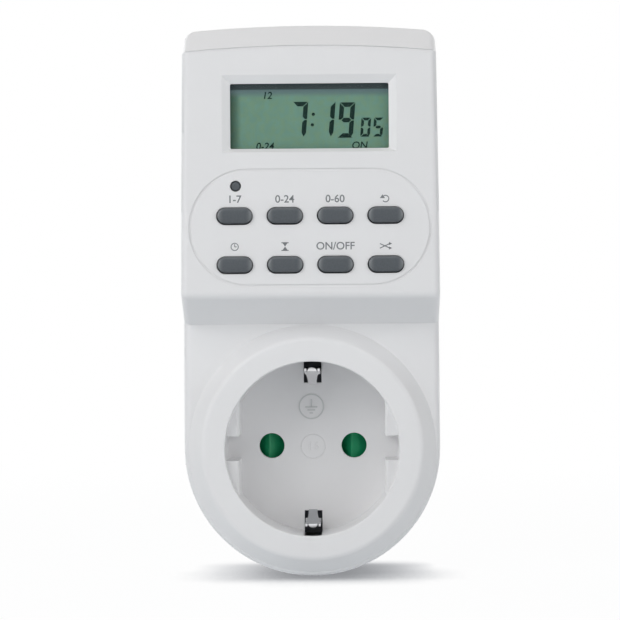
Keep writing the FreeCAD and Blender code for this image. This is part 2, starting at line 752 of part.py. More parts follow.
def plug_hollow():
    y0 = REAR_IN_Y - SEAT_GAP
    flat_x = BOSS_R - BOSS_FLAT_DEPTH - WALL
    hollow = rod(BOSS_R - WALL, y0, -PLUG_END_WALL)
    hollow = hollow.common(box(-flat_x, flat_x, y0, 0, -BOSS_R, BOSS_R))
    half = STRAP_WIDTH / 2 + FIT_GAP + WALL
    pads = [box(-half, half, y0, 0, *sorted((side * (STRAP_Z - WALL), side * BOSS_R))) for side in (-1, 1)]
    return cut_all(hollow, pads)


def strap_channel(side):
    """The groove in the plug body that shows the earth strap, open through the rear wall."""
    half = STRAP_WIDTH / 2 + FIT_GAP
    floor_z = STRAP_Z - SEAT_GAP
    groove = box(-half, half, REAR_Y, -PLUG_END_WALL, *sorted((side * floor_z, side * (BOSS_R + OVER))))
    back_z = STRAP_Z + CLIP_THICKNESS + SEAT_GAP
    slot = box(-half, half, REAR_IN_Y - OVER, REAR_Y + OVER, *sorted((side * floor_z, side * back_z)))
    return groove.fuse(slot)


@piece("rear_cover")
def rear_cover():
    block = slab(0, PART_Y + SEAM_GAP / 2, REAR_Y)
    block = block.makeFillet(REAR_FILLET, edges_at_y(block, REAR_Y))
    hollow = slab(WALL, PART_Y - OVER, REAR_IN_Y)
    kept = [rod(COLUMN_R, PART_Y - OVER, REAR_IN_Y, x, z) for x, z in SCREWS]
    kept += [rod(POWER_POST_R, POWER_BACK_Y, REAR_IN_Y, x, z) for x, z in POWER_POSTS]
    lip_y = PART_Y - LIP_HEIGHT
    lip = slab(WALL - LIP_THICKNESS, lip_y, PART_Y + WALL).cut(slab(WALL, lip_y - OVER, PART_Y + 2 * WALL))
    shell = joined([block.cut(cut_all(hollow, kept)), lip, plug_boss()])
    tools = [plug_hollow(), strap_channel(-1), strap_channel(1)]
    root_r, hole_r = PIN_R + PIN_ROOT_RIM + PIN_GRIP, PIN_R + PIN_GRIP
    points = [(0, -PLUG_END_WALL - OVER), (root_r, -PLUG_END_WALL - OVER), (root_r, -PLUG_END_WALL)]
    points += [(hole_r, 0), (hole_r, OVER), (0, OVER)]
    tools += [turned(points, x) for x in (-PIN_X, PIN_X)]
    tools += [rod(COUNTERBORE_R, REAR_Y - SCREW_SINK, REAR_Y + OVER, x, z) for x, z in SCREWS]
    tools += [rod(SCREW_R + FIT_GAP, PART_Y - OVER, REAR_Y, x, z) for x, z in SCREWS]
    bite_y = POWER_BACK_Y + BOARD_SCREW_BITE + FIT_GAP
    tools += [rod(BOARD_SCREW_R + SCREW_GRIP, POWER_BACK_Y, bite_y, x, z) for x, z in POWER_POSTS]
    return cut_all(shell, tools)


def screw(x, z, seat_y, way, r, head_r, head, length):
    """A cross-head screw whose head rests at seat_y and whose shank runs along way, 1 or -1."""
    back_y = seat_y - way * head
    tip_y = seat_y + way * length
    points = [
        (0, back_y),
        (head_r * 0.8, back_y),
        (head_r, back_y + way * head * 0.4),
        (head_r, seat_y),
        (r, seat_y),
        (r, tip_y - way * r),
        (0, tip_y),
    ]
    solid = turned(points, x, z)
    scale = head_r / SCREW_HEAD_R
    long, wide = CROSS_LENGTH * scale / 2, CROSS_WIDTH * scale / 2
    y0, y1 = sorted((back_y - way, back_y + way * CROSS_DEPTH * scale))
    cross = [
        box(x - long, x + long, y0, y1, z - wide, z + wide),
        box(x - wide, x + wide, y0, y1, z - long, z + long),
    ]
    return cut_all(solid, cross)


@piece("housing_screws")
def housing_screws():
    seat_y = REAR_Y - SCREW_SINK
    length = seat_y - PART_Y + SCREW_BITE
    return Part.makeCompound([
        screw(x, z, seat_y, -1, SCREW_R, SCREW_HEAD_R, SCREW_HEAD, length) for x, z in SCREWS
    ])


@piece("board_screws")
def board_screws():
    return Part.makeCompound([
        screw(x, z, LOGIC_BACK_Y, -1, BOARD_SCREW_R, BOARD_SCREW_HEAD_R, BOARD_SCREW_HEAD,
              BOARD_THICKNESS + BOARD_SCREW_BITE)
        for x, z in LOGIC_POSTS
    ])


@piece("power_board_screws")
def power_board_screws():
    return Part.makeCompound([
        screw(x, z, POWER_Y, 1, BOARD_SCREW_R, BOARD_SCREW_HEAD_R, BOARD_SCREW_HEAD,
              BOARD_THICKNESS + BOARD_SCREW_BITE)
        for x, z in POWER_POSTS
    ])


@piece("display_lens")
def display_lens():
    x, z = WINDOW_WIDTH / 2 + LENS_MARGIN, WINDOW_HEIGHT / 2 + LENS_MARGIN
    return box(-x, x, LENS_Y, LENS_BACK_Y, WINDOW_Z - z, WINDOW_Z + z)


@piece("lcd_glass")
def lcd_glass():
    """Two plates of glass, the front one shorter below so that its contact ledge lies free."""
    middle_y = (GLASS_Y + GLASS_BACK_Y) / 2
    x, low, top = GLASS_HALF_X, WINDOW_Z - GLASS_HALF_Z, WINDOW_Z + GLASS_HALF_Z
    front = box(-x, x, GLASS_Y, middle_y + GLASS_SPLIT / 2, low, top)
    back = box(-x, x, middle_y, GLASS_BACK_Y, low + GLASS_LEDGE / 2, top - GLASS_LEDGE / 2)
    return joined([front, back])


@piece("lcd_frame")
def lcd_frame():
    """The moulded frame that holds the glass and the contact strips against the board."""
    x, z = FRAME_HALF_X, FRAME_HALF_Z
    body = rounded_block(-x, x, LENS_BACK_Y + SEAT_GAP, LOGIC_Y, WINDOW_Z - z, WINDOW_Z + z, FRAME_WALL)
    gx, gz = GLASS_HALF_X + FIT_GAP, GLASS_HALF_Z + FIT_GAP
    room = box(-gx, gx, GLASS_Y - SEAT_GAP, LOGIC_Y + OVER, WINDOW_Z - gz, WINDOW_Z + gz)
    vx, vz = WINDOW_WIDTH / 2 + FIT_GAP, WINDOW_HEIGHT / 2 + FIT_GAP
    view = box(-vx, vx, LENS_BACK_Y - OVER, LOGIC_Y + OVER, WINDOW_Z - vz, WINDOW_Z + vz)
    return cut_all(body, [room, view])


@piece("zebra_strips")
def zebra_strips():
    x = GLASS_HALF_X - GLASS_MARGIN_X
    strips = []
    for side in (-1, 1):
        outer = WINDOW_Z + side * (GLASS_HALF_Z - GLASS_LEDGE / 2)
        z0, z1 = sorted((outer, outer - side * ZEBRA_WIDTH))
        strips.append(box(-x, x, GLASS_BACK_Y, LOGIC_Y, z0, z1))
    return Part.makeCompound(strips)


@piece("logic_board")
def logic_board():
    x = LOGIC_HALF_X
    board = rounded_block(-x, x, LOGIC_Y, LOGIC_BACK_Y, LOGIC_BOTTOM_Z, LOGIC_TOP_Z, BOARD_CORNER)
    r = BOARD_SCREW_R + FIT_GAP
    return cut_all(board, [rod(r, LOGIC_Y - OVER, LOGIC_BACK_Y + OVER, x, z) for x, z in LOGIC_POSTS])


@piece("controller_chip")
def controller_chip():
    """A square package with a row of leads on each side."""
    x, z = CHIP_AT[0], LOGIC_MID_Z + CHIP_AT[1]
    half = CHIP_SIDE / 2
    body = box(x - half, x + half, LOGIC_BACK_Y + SEAT_GAP, LOGIC_BACK_Y + CHIP_HEIGHT, z - half, z + half)
    pieces = [body.makeChamfer(CHIP_HEIGHT / 5, edges_at_y(body, LOGIC_BACK_Y + CHIP_HEIGHT))]
    pitch = CHIP_SIDE / (CHIP_LEADS + 1)
    y0, y1 = LOGIC_BACK_Y, LOGIC_BACK_Y + CHIP_LEAD_HEIGHT
    reach, wide = half + CHIP_LEAD_LENGTH, CHIP_LEAD_WIDTH / 2
    for n in range(CHIP_LEADS):
        off = pitch * (n + 1) - half
        pieces.append(box(x - reach, x + reach, y0, y1, z + off - wide, z + off + wide))
        pieces.append(box(x + off - wide, x + off + wide, y0, y1, z - reach, z + reach))
    return joined(pieces)


@piece("clock_crystal")
def clock_crystal():
    x, z = CRYSTAL_AT[0], LOGIC_MID_Z + CRYSTAL_AT[1]
    y = LOGIC_BACK_Y + CRYSTAL_R
    half = CRYSTAL_LENGTH / 2
    can = rod_x(CRYSTAL_R, x - half, x + half, y, z)
    leads = []
    for side in (-1, 1):
        lead_z = z + side * CRYSTAL_R / 2
        leads.append(rod_x(LEAD_R / 2, x + half, x + half + LEAD_REACH, y, lead_z))
        leads.append(rod(LEAD_R / 2, LOGIC_BACK_Y, y, x + half + LEAD_REACH, lead_z))
    return joined([can] + leads)


@piece("backup_battery")
def backup_battery():
    x, z = CELL_AT[0], LOGIC_MID_Z + CELL_AT[1]
    y0 = LOGIC_BACK_Y + TAB_THICKNESS
    cell = rod(CELL_R, y0, y0 + CELL_HEIGHT, x, z)
    return cell.makeFillet(CELL_EDGE, edges_at_y(cell, y0) + edges_at_y(cell, y0 + CELL_HEIGHT))


@piece("battery_tabs")
def battery_tabs():
    """Two welded tabs: one under the cell and one bent over it down to the board."""
    x, z = CELL_AT[0], LOGIC_MID_Z + CELL_AT[1]
    half, t = TAB_WIDTH / 2, TAB_THICKNESS
    under = box(x - half, x + half, LOGIC_BACK_Y, LOGIC_BACK_Y + t, z - CELL_R - TAB_REACH, z + half)
    back_y = LOGIC_BACK_Y + t + CELL_HEIGHT + t / 2
    edge_z = z + CELL_R + TAB_REACH
    path = [(LOGIC_BACK_Y, edge_z), (back_y, edge_z), (back_y, z - half)]
    over = prism_x(band(path, t), x - half, x + half)
    return Part.makeCompound([under, over])


def dome(x, z):
    """A hollow silicone dome that carries a key and snaps flat when it is pressed."""
    base_y = LOGIC_Y - MAT_THICKNESS / 2
    return turned([(0, DOME_Y), (DOME_R, DOME_Y), (DOME_R + DOME_SKIRT, base_y), (0, base_y)], x, z)


@piece("keypad_mat")
def keypad_mat():
    half_x = KEY_COLUMNS[3] + MAT_MARGIN
    low, top = LOW_ROW_Z - MAT_MARGIN, RESET_Z + MAT_RESET_MARGIN
    sheet = rounded_block(-half_x, half_x, LOGIC_Y - MAT_THICKNESS, LOGIC_Y, low, top, BOARD_CORNER)
    places = key_places() + [(RESET_X, RESET_Z)]
    mat = joined([sheet] + [dome(x, z) for x, z in places])
    depth = KEY_TRAVEL + DOME_AIR
    tools = [rod(DOME_R, LOGIC_Y - depth, LOGIC_Y + OVER, x, z) for x, z in places]
    tools += [rod(POST_R + 2 * FIT_GAP, DOME_Y, LOGIC_Y + OVER, x, z) for x, z in LOGIC_POSTS]
    return cut_all(mat, tools)


def key(x, z):
    """An oval key with a crowned front, held behind the cover by its flange."""
    face_y = HEAD_Y - KEY_PROUD
    cap = stadium(KEY_WIDTH, KEY_HEIGHT, face_y, FLANGE_Y + FLANGE_THICKNESS, x, z)
    cap = cap.common(rod_x(KEY_CROWN_R, x - KEY_WIDTH, x + KEY_WIDTH, face_y + KEY_CROWN_R, z))
    cap = cap.makeFillet(KEY_EDGE, edges_where(cap, lambda p: p.y < HEAD_Y))
    margin = 2 * FLANGE_MARGIN
    flange = stadium(KEY_WIDTH + margin, KEY_HEIGHT + margin, FLANGE_Y, FLANGE_Y + FLANGE_THICKNESS, x, z)
    stem = rod(DOME_R, FLANGE_Y, STEM_BACK_Y, x, z)
    return joined([cap, flange, stem])


def register_keys():
    for names, z in zip(KEY_NAMES, KEY_ROWS):
        for name, x in zip(names, KEY_COLUMNS):
            PIECES[name] = lambda x=x, z=z: key(x + KEY_SHIFT_X, z + KEY_SHIFT_Z)


register_keys()


@piece("reset_key")
def reset_key():
    """A small round key that lies just below the face."""
    face_y = HEAD_Y + RESET_SUNK
    cap = rod(RESET_R, face_y, FLANGE_Y + FLANGE_THICKNESS, RESET_X, RESET_Z)
    cap = cap.makeFillet(RESET_SUNK, edges_at_y(cap, face_y))
    flange = rod(RESET_R + FLANGE_MARGIN, FLANGE_Y, FLANGE_Y + FLANGE_THICKNESS, RESET_X, RESET_Z)
    stem = rod(RESET_R, FLANGE_Y, STEM_BACK_Y, RESET_X, RESET_Z)
    return joined([cap, flange, stem])


def tab_slot(side, gap):
    """The place of a strip's solder tab in the power board, with a gap all round."""
    half = STRIP_WIDTH / 2 - STRIP_THICKNESS + gap
    x = side * STRIP_ARM_X
    z0 = POWER_BOTTOM_Z + TAB_RISE
    return box(x - half, x + half, POWER_Y - TAB_PROUD, STRIP_BACK_Y, z0 - gap, z0 + STRIP_THICKNESS + gap)


@piece("power_board")
def power_board():
    x = POWER_HALF_X
    board = rounded_block(-x, x, POWER_Y, POWER_BACK_Y, POWER_BOTTOM_Z, POWER_TOP_Z, BOARD_CORNER)
    half = STRIP_WIDTH / 2 + FIT_GAP
    top = POWER_BOTTOM_Z + TAB_RISE + FIT_GAP
    y0, y1 = POWER_Y - OVER, POWER_BACK_Y + OVER
    tools = [box(-PIN_X - half, -PIN_X + half, y0, y1, POWER_BOTTOM_Z - OVER, top)]
    tools += [tab_slot(-1, FIT_GAP), tab_slot(1, FIT_GAP)]
    tools += [rod(BOARD_SCREW_R + FIT_GAP, y0, y1, x, z) for x, z in POWER_POSTS]
    return cut_all(board, tools)


def on_board(size, place, r):
    """A block of width, height and depth standing on the power board's front."""
    x, z = place[0], POWER_MID_Z + place[1]
    wide, high, deep = size
    return rounded_block(x - wide / 2, x + wide / 2, POWER_Y - deep, POWER_Y, z - high / 2, z + high / 2, r)


@piece("relay")
def relay():
    case = on_board(RELAY_SIZE, RELAY_AT, RELAY_CORNER)
    return case.makeChamfer(RELAY_EDGE, edges_at_y(case, POWER_Y - RELAY_SIZE[2]))


@piece("film_capacitor")
def film_capacitor():
    return on_board(FILM_SIZE, FILM_AT, FILM_CORNER)


@piece("smoothing_capacitor")
def smoothing_capacitor():
    """A can with its rolled groove near the board."""
    x, z = CAN_AT[0], POWER_MID_Z + CAN_AT[1]
    groove = CAN_R / 10
    low = POWER_Y - 2 * CAN_R / 3
    points = [
        (0, POWER_Y),
        (CAN_R, POWER_Y),
        (CAN_R, low + groove),
        (CAN_R - groove, low),
        (CAN_R, low - groove),
        (CAN_R, POWER_Y - CAN_LENGTH + groove),
        (CAN_R - groove, POWER_Y - CAN_LENGTH),
        (0, POWER_Y - CAN_LENGTH),
    ]
    return turned(points, x, z)


@piece("varistor")
def varistor():
    x, z = DISC_AT[0], POWER_MID_Z + DISC_AT[1]
    y = POWER_Y - LEAD_RISE - DISC_R
    half = DISC_THICKNESS / 2
    disc = rod_x(DISC_R, x - half, x + half, y, z)
    leads = [rod(LEAD_R, y, POWER_Y, x, z + side * DISC_R / 2) for side in (-1, 1)]
    return joined([disc] + leads)


def axial(x, z, r, length):
    """A lying component with its two bent leads."""
    y = POWER_Y - LEAD_RISE - r
    half = length / 2
    pieces = [rod_x(r, x - half, x + half, y, z)]
    for side in (-1, 1):
        end = x + side * (half + LEAD_REACH)
        x0, x1 = sorted((x + side * half, end))
        pieces.append(rod_x(LEAD_R, x0, x1, y, z))
        pieces.append(Part.makeSphere(LEAD_R, V(end, y, z)))
        pieces.append(rod(LEAD_R, y, POWER_Y, end, z))
    return joined(pieces)


@piece("rectifier_diodes")
def rectifier_diodes():
    x, z = DIODE_AT[0], POWER_MID_Z + DIODE_AT[1]
    first = (DIODE_COUNT - 1) / 2
    return Part.makeCompound([
        axial(x, z + (n - first) * DIODE_PITCH, DIODE_R, DIODE_LENGTH) for n in range(DIODE_COUNT)
    ])


@piece("series_resistor")
def series_resistor():
    return axial(RESISTOR_AT[0], POWER_MID_Z + RESISTOR_AT[1], RESISTOR_R, RESISTOR_LENGTH)


def link_ends():
    """The (y, z) points where the link cable leaves its two sockets."""
    wide, high, deep = SOCKET_SIZE
    logic_end = (LOGIC_BACK_Y + deep, LOGIC_MID_Z + LINK_LOGIC_AT[1])
    power_end = (POWER_Y - deep, POWER_MID_Z + LINK_POWER_RISE)
    return logic_end, power_end


@piece("link_sockets")
def link_sockets():
    (logic_y, logic_z), (power_y, power_z) = link_ends()
    wide, high = SOCKET_SIZE[0] / 2, SOCKET_SIZE[1] / 2
    x = LINK_LOGIC_AT[0]
    logic = box(x - wide, x + wide, LOGIC_BACK_Y, logic_y, logic_z - high, logic_z + high)
    power = box(x - wide, x + wide, power_y, POWER_Y, power_z - high, power_z + high)
    return Part.makeCompound([logic, power])


@piece("link_cable")
def link_cable():
    """The flat cable between the boards: straight ends joined by two equal opposite bends."""
    (y0, z0), (y1, z1) = link_ends()
    x, t = LINK_LOGIC_AT[0], LINK_THICKNESS
    half = LINK_WIDTH / 2
    a, b = y0 + LINK_STRAIGHT, y1 - LINK_STRAIGHT
    rise, run = z1 - z0, b - a
    turn = 2 * math.atan2(rise, run)
    r = run / (2 * math.sin(turn))
    first = box(x - half, x + half, y0, a, z0 - t / 2, z0 + t / 2)
    last = box(x - half, x + half, b, y1, z1 - t / 2, z1 + t / 2)
    start = polygon_face([V(x - half, a, z0 - t / 2), V(x + half, a, z0 - t / 2),
                          V(x + half, a, z0 + t / 2), V(x - half, a, z0 + t / 2)])
    end = polygon_face([V(x - half, b, z1 - t / 2), V(x + half, b, z1 - t / 2),
                        V(x + half, b, z1 + t / 2), V(x - half, b, z1 + t / 2)])
    bend_in = start.revolve(V(x, a, z0 + r), V(1, 0, 0), math.degrees(turn))
    bend_out = end.revolve(V(x, b, z1 - r), V(1, 0, 0), math.degrees(turn))
    return joined([first, bend_in, bend_out, last])


def pin(x, head_y):
    """A plug pin with a rounded tip, a tapered root in the end wall, a flange and a riveted tail."""
    head_r, flange_r = PIN_TAIL_R + PIN_HEAD_RIM, PIN_R + PIN_FLANGE_RIM
    points = [
        (0, head_y),
        (head_r, head_y),
        (head_r, head_y + PIN_HEAD),
        (PIN_TAIL_R, head_y + PIN_HEAD),
        (PIN_TAIL_R, PIN_FLANGE_Y),
        (flange_r, PIN_FLANGE_Y),
        (flange_r, -PLUG_END_WALL),
        (PIN_R + PIN_ROOT_RIM, -PLUG_END_WALL),
        (PIN_R, 0),
        (PIN_R, PIN_LENGTH),
        (0, PIN_LENGTH),
    ]
    solid = turned(points, x)
    return solid.makeFillet(PIN_TIP, edges_at_y(solid, PIN_LENGTH))


@piece("live_pin")
def live_pin():
    return pin(-PIN_X, STRIP_Y - PIN_HEAD)


@piece("neutral_pin")
def neutral_pin():
    return pin(PIN_X, STRIP_Y - CONTACT_THICKNESS - PIN_HEAD)


def tail_hole(x):
    return rod(PIN_TAIL_R + PIN_GRIP, CARRIER_Y, REAR_Y, x)


def strip_blank(grow, y0, y1):
    """The outline of the right-hand strip: a foot round the pin's tail and an arm up to the board."""
    x0, x1 = PIN_X - STRIP_FOOT - grow, STRIP_ARM_X + STRIP_WIDTH / 2 + grow
    arm_x = STRIP_ARM_X - STRIP_WIDTH / 2 - grow
    low, mid = -STRIP_FOOT - grow, STRIP_FOOT + grow
    top = POWER_BOTTOM_Z + TAB_RISE + STRIP_THICKNESS
    return prism_y([(x0, low), (x1, low), (x1, top), (arm_x, top), (arm_x, mid), (x0, mid)], y0, y1)


@piece("neutral_strip")
def neutral_strip():
    blank = strip_blank(0, STRIP_Y, STRIP_BACK_Y).fuse(tab_slot(1, 0)).removeSplitter()
    return blank.cut(tail_hole(PIN_X))


@piece("live_strip")
def live_strip():
    return mirrored(neutral_strip())


@piece("switched_strip")
def switched_strip():
    """From the back of the live contact up to the power board's notch."""
    half = STRIP_WIDTH / 2
    top = POWER_BOTTOM_Z + TAB_RISE
    return box(-PIN_X - half, -PIN_X + half, SWITCHED_Y, SWITCHED_BACK_Y, -STRIP_FOOT, top)


def contact(x, back_y):
    """A spring contact: a base and two leaves that pinch the plug's pin."""
    t = CONTACT_THICKNESS
    base_y = back_y - t / 2
    tip_y = CARRIER_Y + CONTACT_SET_BACK
    pinch = CONTACT_PINCH + t / 2
    wide = pinch + CONTACT_SPREAD
    lead = CONTACT_LEAD
    half = [(base_y, wide), (tip_y + 2 * lead, wide), (tip_y + lead, pinch), (tip_y, wide)]
    path = [(y, -z) for y, z in half[::-1]] + half
    return prism_x(band(path, t), x - CONTACT_WIDTH / 2, x + CONTACT_WIDTH / 2)


@piece("live_contact")
def live_contact():
    return contact(-PIN_X, SWITCHED_Y)


@piece("neutral_contact")
def neutral_contact():
    return contact(PIN_X, STRIP_Y).cut(tail_hole(PIN_X))


def pocket(x, back_y):
    """Room for a contact, open to the front of the carrier."""
    wide = CONTACT_WIDTH / 2 + POCKET_GAP
    high = CONTACT_PINCH + CONTACT_THICKNESS + CONTACT_SPREAD + POCKET_GAP
    return box(x - wide, x + wide, CARRIER_Y - OVER, back_y, -high, high)


def guide_walls():
    """The walls in front of the carrier between which the shutter slides, and the spring's seat."""
    y0, y1 = SHUTTER_Y, CARRIER_Y + SEAT_GAP
    low, top = -SHUTTER_HALF - SHUTTER_GAP, LUG_TOP_Z + SHUTTER_GAP
    inner = SHUTTER_HALF + SHUTTER_GAP
    stop_x = SHUTTER_REACH + SHUTTER_GAP
    left = -SHUTTER_REACH
    seat_x = SPRING_SEAT_X - GUIDE_WALL
    return [
        box(left, stop_x + GUIDE_WALL, y0, y1, low - GUIDE_WALL, low),
        box(stop_x, stop_x + GUIDE_WALL, y0, y1, low, top),
        box(seat_x, stop_x + GUIDE_WALL, y0, y1, top, top + GUIDE_WALL),
        box(seat_x, SPRING_SEAT_X, y0, y1, inner, top),
        box(left, SPRING_SEAT_X, y0, y1, inner, inner + GUIDE_WALL),
    ]


@piece("contact_carrier")
def contact_carrier():
    body = joined([rod(CARRIER_R, CARRIER_Y, CARRIER_BACK_Y)] + guide_walls())
    groove = strip_blank(FIT_GAP, STRIP_Y - SEAT_GAP, CARRIER_BACK_Y + OVER)
    tools = [groove, mirrored(groove)]
    tools += [pocket(-PIN_X, SWITCHED_BACK_Y), pocket(PIN_X, STRIP_Y)]
    head_r = PIN_TAIL_R + PIN_HEAD_RIM + FIT_GAP
    tools += [rod(head_r, STRIP_Y - PIN_HEAD - FIT_GAP, STRIP_Y, -PIN_X)]
    half = STRIP_WIDTH / 2 + FIT_GAP
    tools += [box(-PIN_X - half, -PIN_X + half, CARRIER_Y - OVER, SWITCHED_BACK_Y, 0, CARRIER_R + OVER)]
    half = STRAP_WIDTH / 2 + FIT_GAP
    foot = CLIP_FOOT_Z + CLIP_THICKNESS / 2 + FIT_GAP
    tools += [box(-half, half, EARTH_Y - SEAT_GAP, CARRIER_BACK_Y + OVER, -foot, foot)]
    tools += [rod(RIVET_R + RIVET_HEAD_RIM + FIT_GAP, EARTH_Y - RIVET_HEAD - FIT_GAP, EARTH_Y)]
    half = CLIP_WIDTH / 2 + FIT_GAP
    for side in (-1, 1):
        z0, z1 = sorted((side * (foot - CLIP_THICKNESS - 2 * FIT_GAP), side * foot))
        tools.append(box(-half, half, CARRIER_Y - OVER, EARTH_Y, z0, z1))
    tools += [rod(COLUMN_R + 2 * FIT_GAP, CARRIER_Y - OVER, CARRIER_BACK_Y + OVER, x, z) for x, z in SCREWS]
    return cut_all(body, tools)


@piece("shutter")
def shutter():
    """The sliding child guard: a plate with a ridge behind each pin hole and a window between."""
    reach, high = SHUTTER_REACH, SHUTTER_HALF
    plate = box(-reach, reach, SHUTTER_PLATE_Y, SHUTTER_BACK_Y, -high, high)
    pad = reach - (PIN_X + PIN_HOLE_R) + SHUTTER_TRAVEL - 2 * SHUTTER_SPARE
    pieces = [plate]
    for centre, x0 in ((-PIN_X, -reach), (PIN_X, reach - pad)):
        ridge = centre - RIDGE_SHIFT
        points = [(x0, SHUTTER_PLATE_Y + SEAT_GAP), (x0, SHUTTER_PLATE_Y), (ridge, SHUTTER_Y),
                  (x0 + pad, SHUTTER_PLATE_Y), (x0 + pad, SHUTTER_PLATE_Y + SEAT_GAP)]
        pieces.append(prism_z(points, -high, high))
    lug_z = high - LUG_OVERLAP
    pieces.append(box(LUG_X, LUG_X + LUG_THICKNESS, SHUTTER_Y, SHUTTER_BACK_Y, lug_z, LUG_TOP_Z))
    guard = joined(pieces)
    hole = PIN_HOLE_R + SHUTTER_SPARE
    middle = SHUTTER_TRAVEL - PIN_X
    return guard.cut(box(middle - hole, middle + hole, SHUTTER_Y - OVER, SHUTTER_BACK_Y + OVER, -hole, hole))


@piece("shutter_spring")
def shutter_spring():
    """The compression spring between the carrier's seat and the shutter's lug, in flat facets."""
    x0 = SPRING_SEAT_X + SPRING_WIRE_R + SEAT_GAP
    length = LUG_X - SPRING_WIRE_R - SEAT_GAP - x0
    count = SPRING_TURNS * SPRING_STEPS
    rings = []
    for n in range(count + 1):
        a = 2 * math.pi * n / SPRING_STEPS
        out = V(0, math.cos(a), math.sin(a))
        along = V(length / count, 0, 0) + V(0, -out.z, out.y) * (2 * math.pi * SPRING_R / SPRING_STEPS)
        side = along.cross(out).normalize()
        centre = V(x0 + length * n / count, SPRING_Y, SPRING_Z) + out * SPRING_R
        turns = [2 * math.pi * k / SPRING_SIDES for k in range(SPRING_SIDES)]
        rings.append([centre + (out * math.cos(t) + side * math.sin(t)) * SPRING_WIRE_R for t in turns])
    faces = [polygon_face(rings[0]), polygon_face(rings[-1])]
    for ring_a, ring_b in zip(rings, rings[1:]):
        for k in range(SPRING_SIDES):
            m = (k + 1) % SPRING_SIDES
            faces.append(polygon_face([ring_a[k], ring_a[m], ring_b[m]]))
            faces.append(polygon_face([ring_a[k], ring_b[m], ring_b[k]]))
    return Part.Solid(Part.makeShell(faces))


def clip_plan():
    """The front of an earth clip seen along Y: a neck, two narrow ears and a round tongue."""
    neck, flare = CLIP_NECK_WIDTH / 2, CLIP_FLARE_WIDTH / 2
    tongue, wide = CLIP_TONGUE_WIDTH / 2, CLIP_WIDTH / 2
    pinch, tip = RECESS_R - CLIP_PINCH, RECESS_R - CLIP_TIP
    ear_z = tip - CLIP_EAR_SET_BACK
    slit_z = tip - CLIP_SLIT_LENGTH
    points = [
        (neck, pinch - OVER),
        (neck, pinch + CLIP_THICKNESS),
        (flare, tip - CLIP_FLARE_LENGTH),
        (wide, ear_z - CLIP_EAR_LENGTH),
        (wide - CLIP_EAR_LEAN, ear_z),
        (wide - CLIP_EAR_LEAN - CLIP_EAR_WIDTH, ear_z),
        (tongue + CLIP_EAR_LEAN, slit_z),
        (tongue, slit_z),
    ]
    round_z = tip - tongue
    turns = [math.radians(15 * n) for n in range(6)]
    points += [(tongue * math.cos(a), round_z + tongue * math.sin(a)) for a in turns]
    return points + [(0, tip)] + [(-x, z) for x, z in points[::-1]]


@piece("earth_clip")
def earth_clip():
    """One springy strap: its base behind the carrier and two legs that stand up in the recess."""
    t, r = CLIP_THICKNESS, CLIP_CURL_R
    pinch_y, tip_y = RIM_Y + CLIP_PINCH_DROP, RIM_Y + CLIP_TIP_DROP
    curl_z = RECESS_R - CLIP_CURL
    base_y = EARTH_Y + t / 2
    half = [(base_y, CLIP_FOOT_Z), (pinch_y + CLIP_BEND, CLIP_FOOT_Z), (pinch_y, RECESS_R - CLIP_PINCH)]
    turns = [math.radians(a) for a in (-40, -10, 20, 50)]
    half += [(tip_y + r - r * math.cos(a), curl_z + r * math.sin(a)) for a in turns]
    path = [(y, -z) for y, z in half[::-1]] + half
    strap = prism_x(band(path, t), -CLIP_WIDTH / 2, CLIP_WIDTH / 2)
    for side in (-1, 1):
        z0, z1 = sorted((0, side * RECESS_R))
        front = box(-CLIP_WIDTH, CLIP_WIDTH, tip_y - OVER, pinch_y, z0, z1)
        plan = [(x, side * z) for x, z in clip_plan()]
        strap = strap.cut(front.cut(prism_y(plan, tip_y - 2 * OVER, pinch_y + OVER)))
        for way in (-1, 1):
            x0, x1 = sorted((way * CLIP_NECK_WIDTH / 2, way * CLIP_WIDTH))
            neck_end = pinch_y + CLIP_BEND - OVER
            strap = strap.cut(box(x0, x1, pinch_y - SEAT_GAP, neck_end, z0, z1))
    return strap.cut(rod(RIVET_R + PIN_GRIP, EARTH_Y - OVER, EARTH_BACK_Y + OVER))


@piece("plug_earth_strap")
def plug_earth_strap():
    """The plug's earth contact: its base riveted to the clip and two legs along the plug body."""
    t = CLIP_THICKNESS
    base_y, leg_z = EARTH_BACK_Y - t / 2, STRAP_Z + t / 2
    end_y = -PLUG_END_WALL - STRAP_END
    path = [(end_y, -leg_z), (base_y, -leg_z), (base_y, leg_z), (end_y, leg_z)]
    strap = prism_x(band(path, t), -STRAP_WIDTH / 2, STRAP_WIDTH / 2)
    return strap.cut(rod(RIVET_R + PIN_GRIP, EARTH_Y - OVER, EARTH_BACK_Y + OVER))


@piece("earth_rivet")
def earth_rivet():
    head_r = RIVET_R + RIVET_HEAD_RIM
    front_y, back_y = EARTH_Y - RIVET_HEAD, EARTH_BACK_Y + RIVET_HEAD
    shank = rod(RIVET_R, front_y, back_y)
    return joined([shank, rod(head_r, front_y, EARTH_Y), rod(head_r, EARTH_BACK_Y, back_y)])


def main():
    os.makedirs("parts", exist_ok=True)
    for name, make in PIECES.items():
        shape = make()
        for solid in shape.Solids:
            print(name, solid.isValid(), round(solid.Volume, 1))
        shape.exportStep(f"parts/{name}.step")


main()
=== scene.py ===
import json
import math

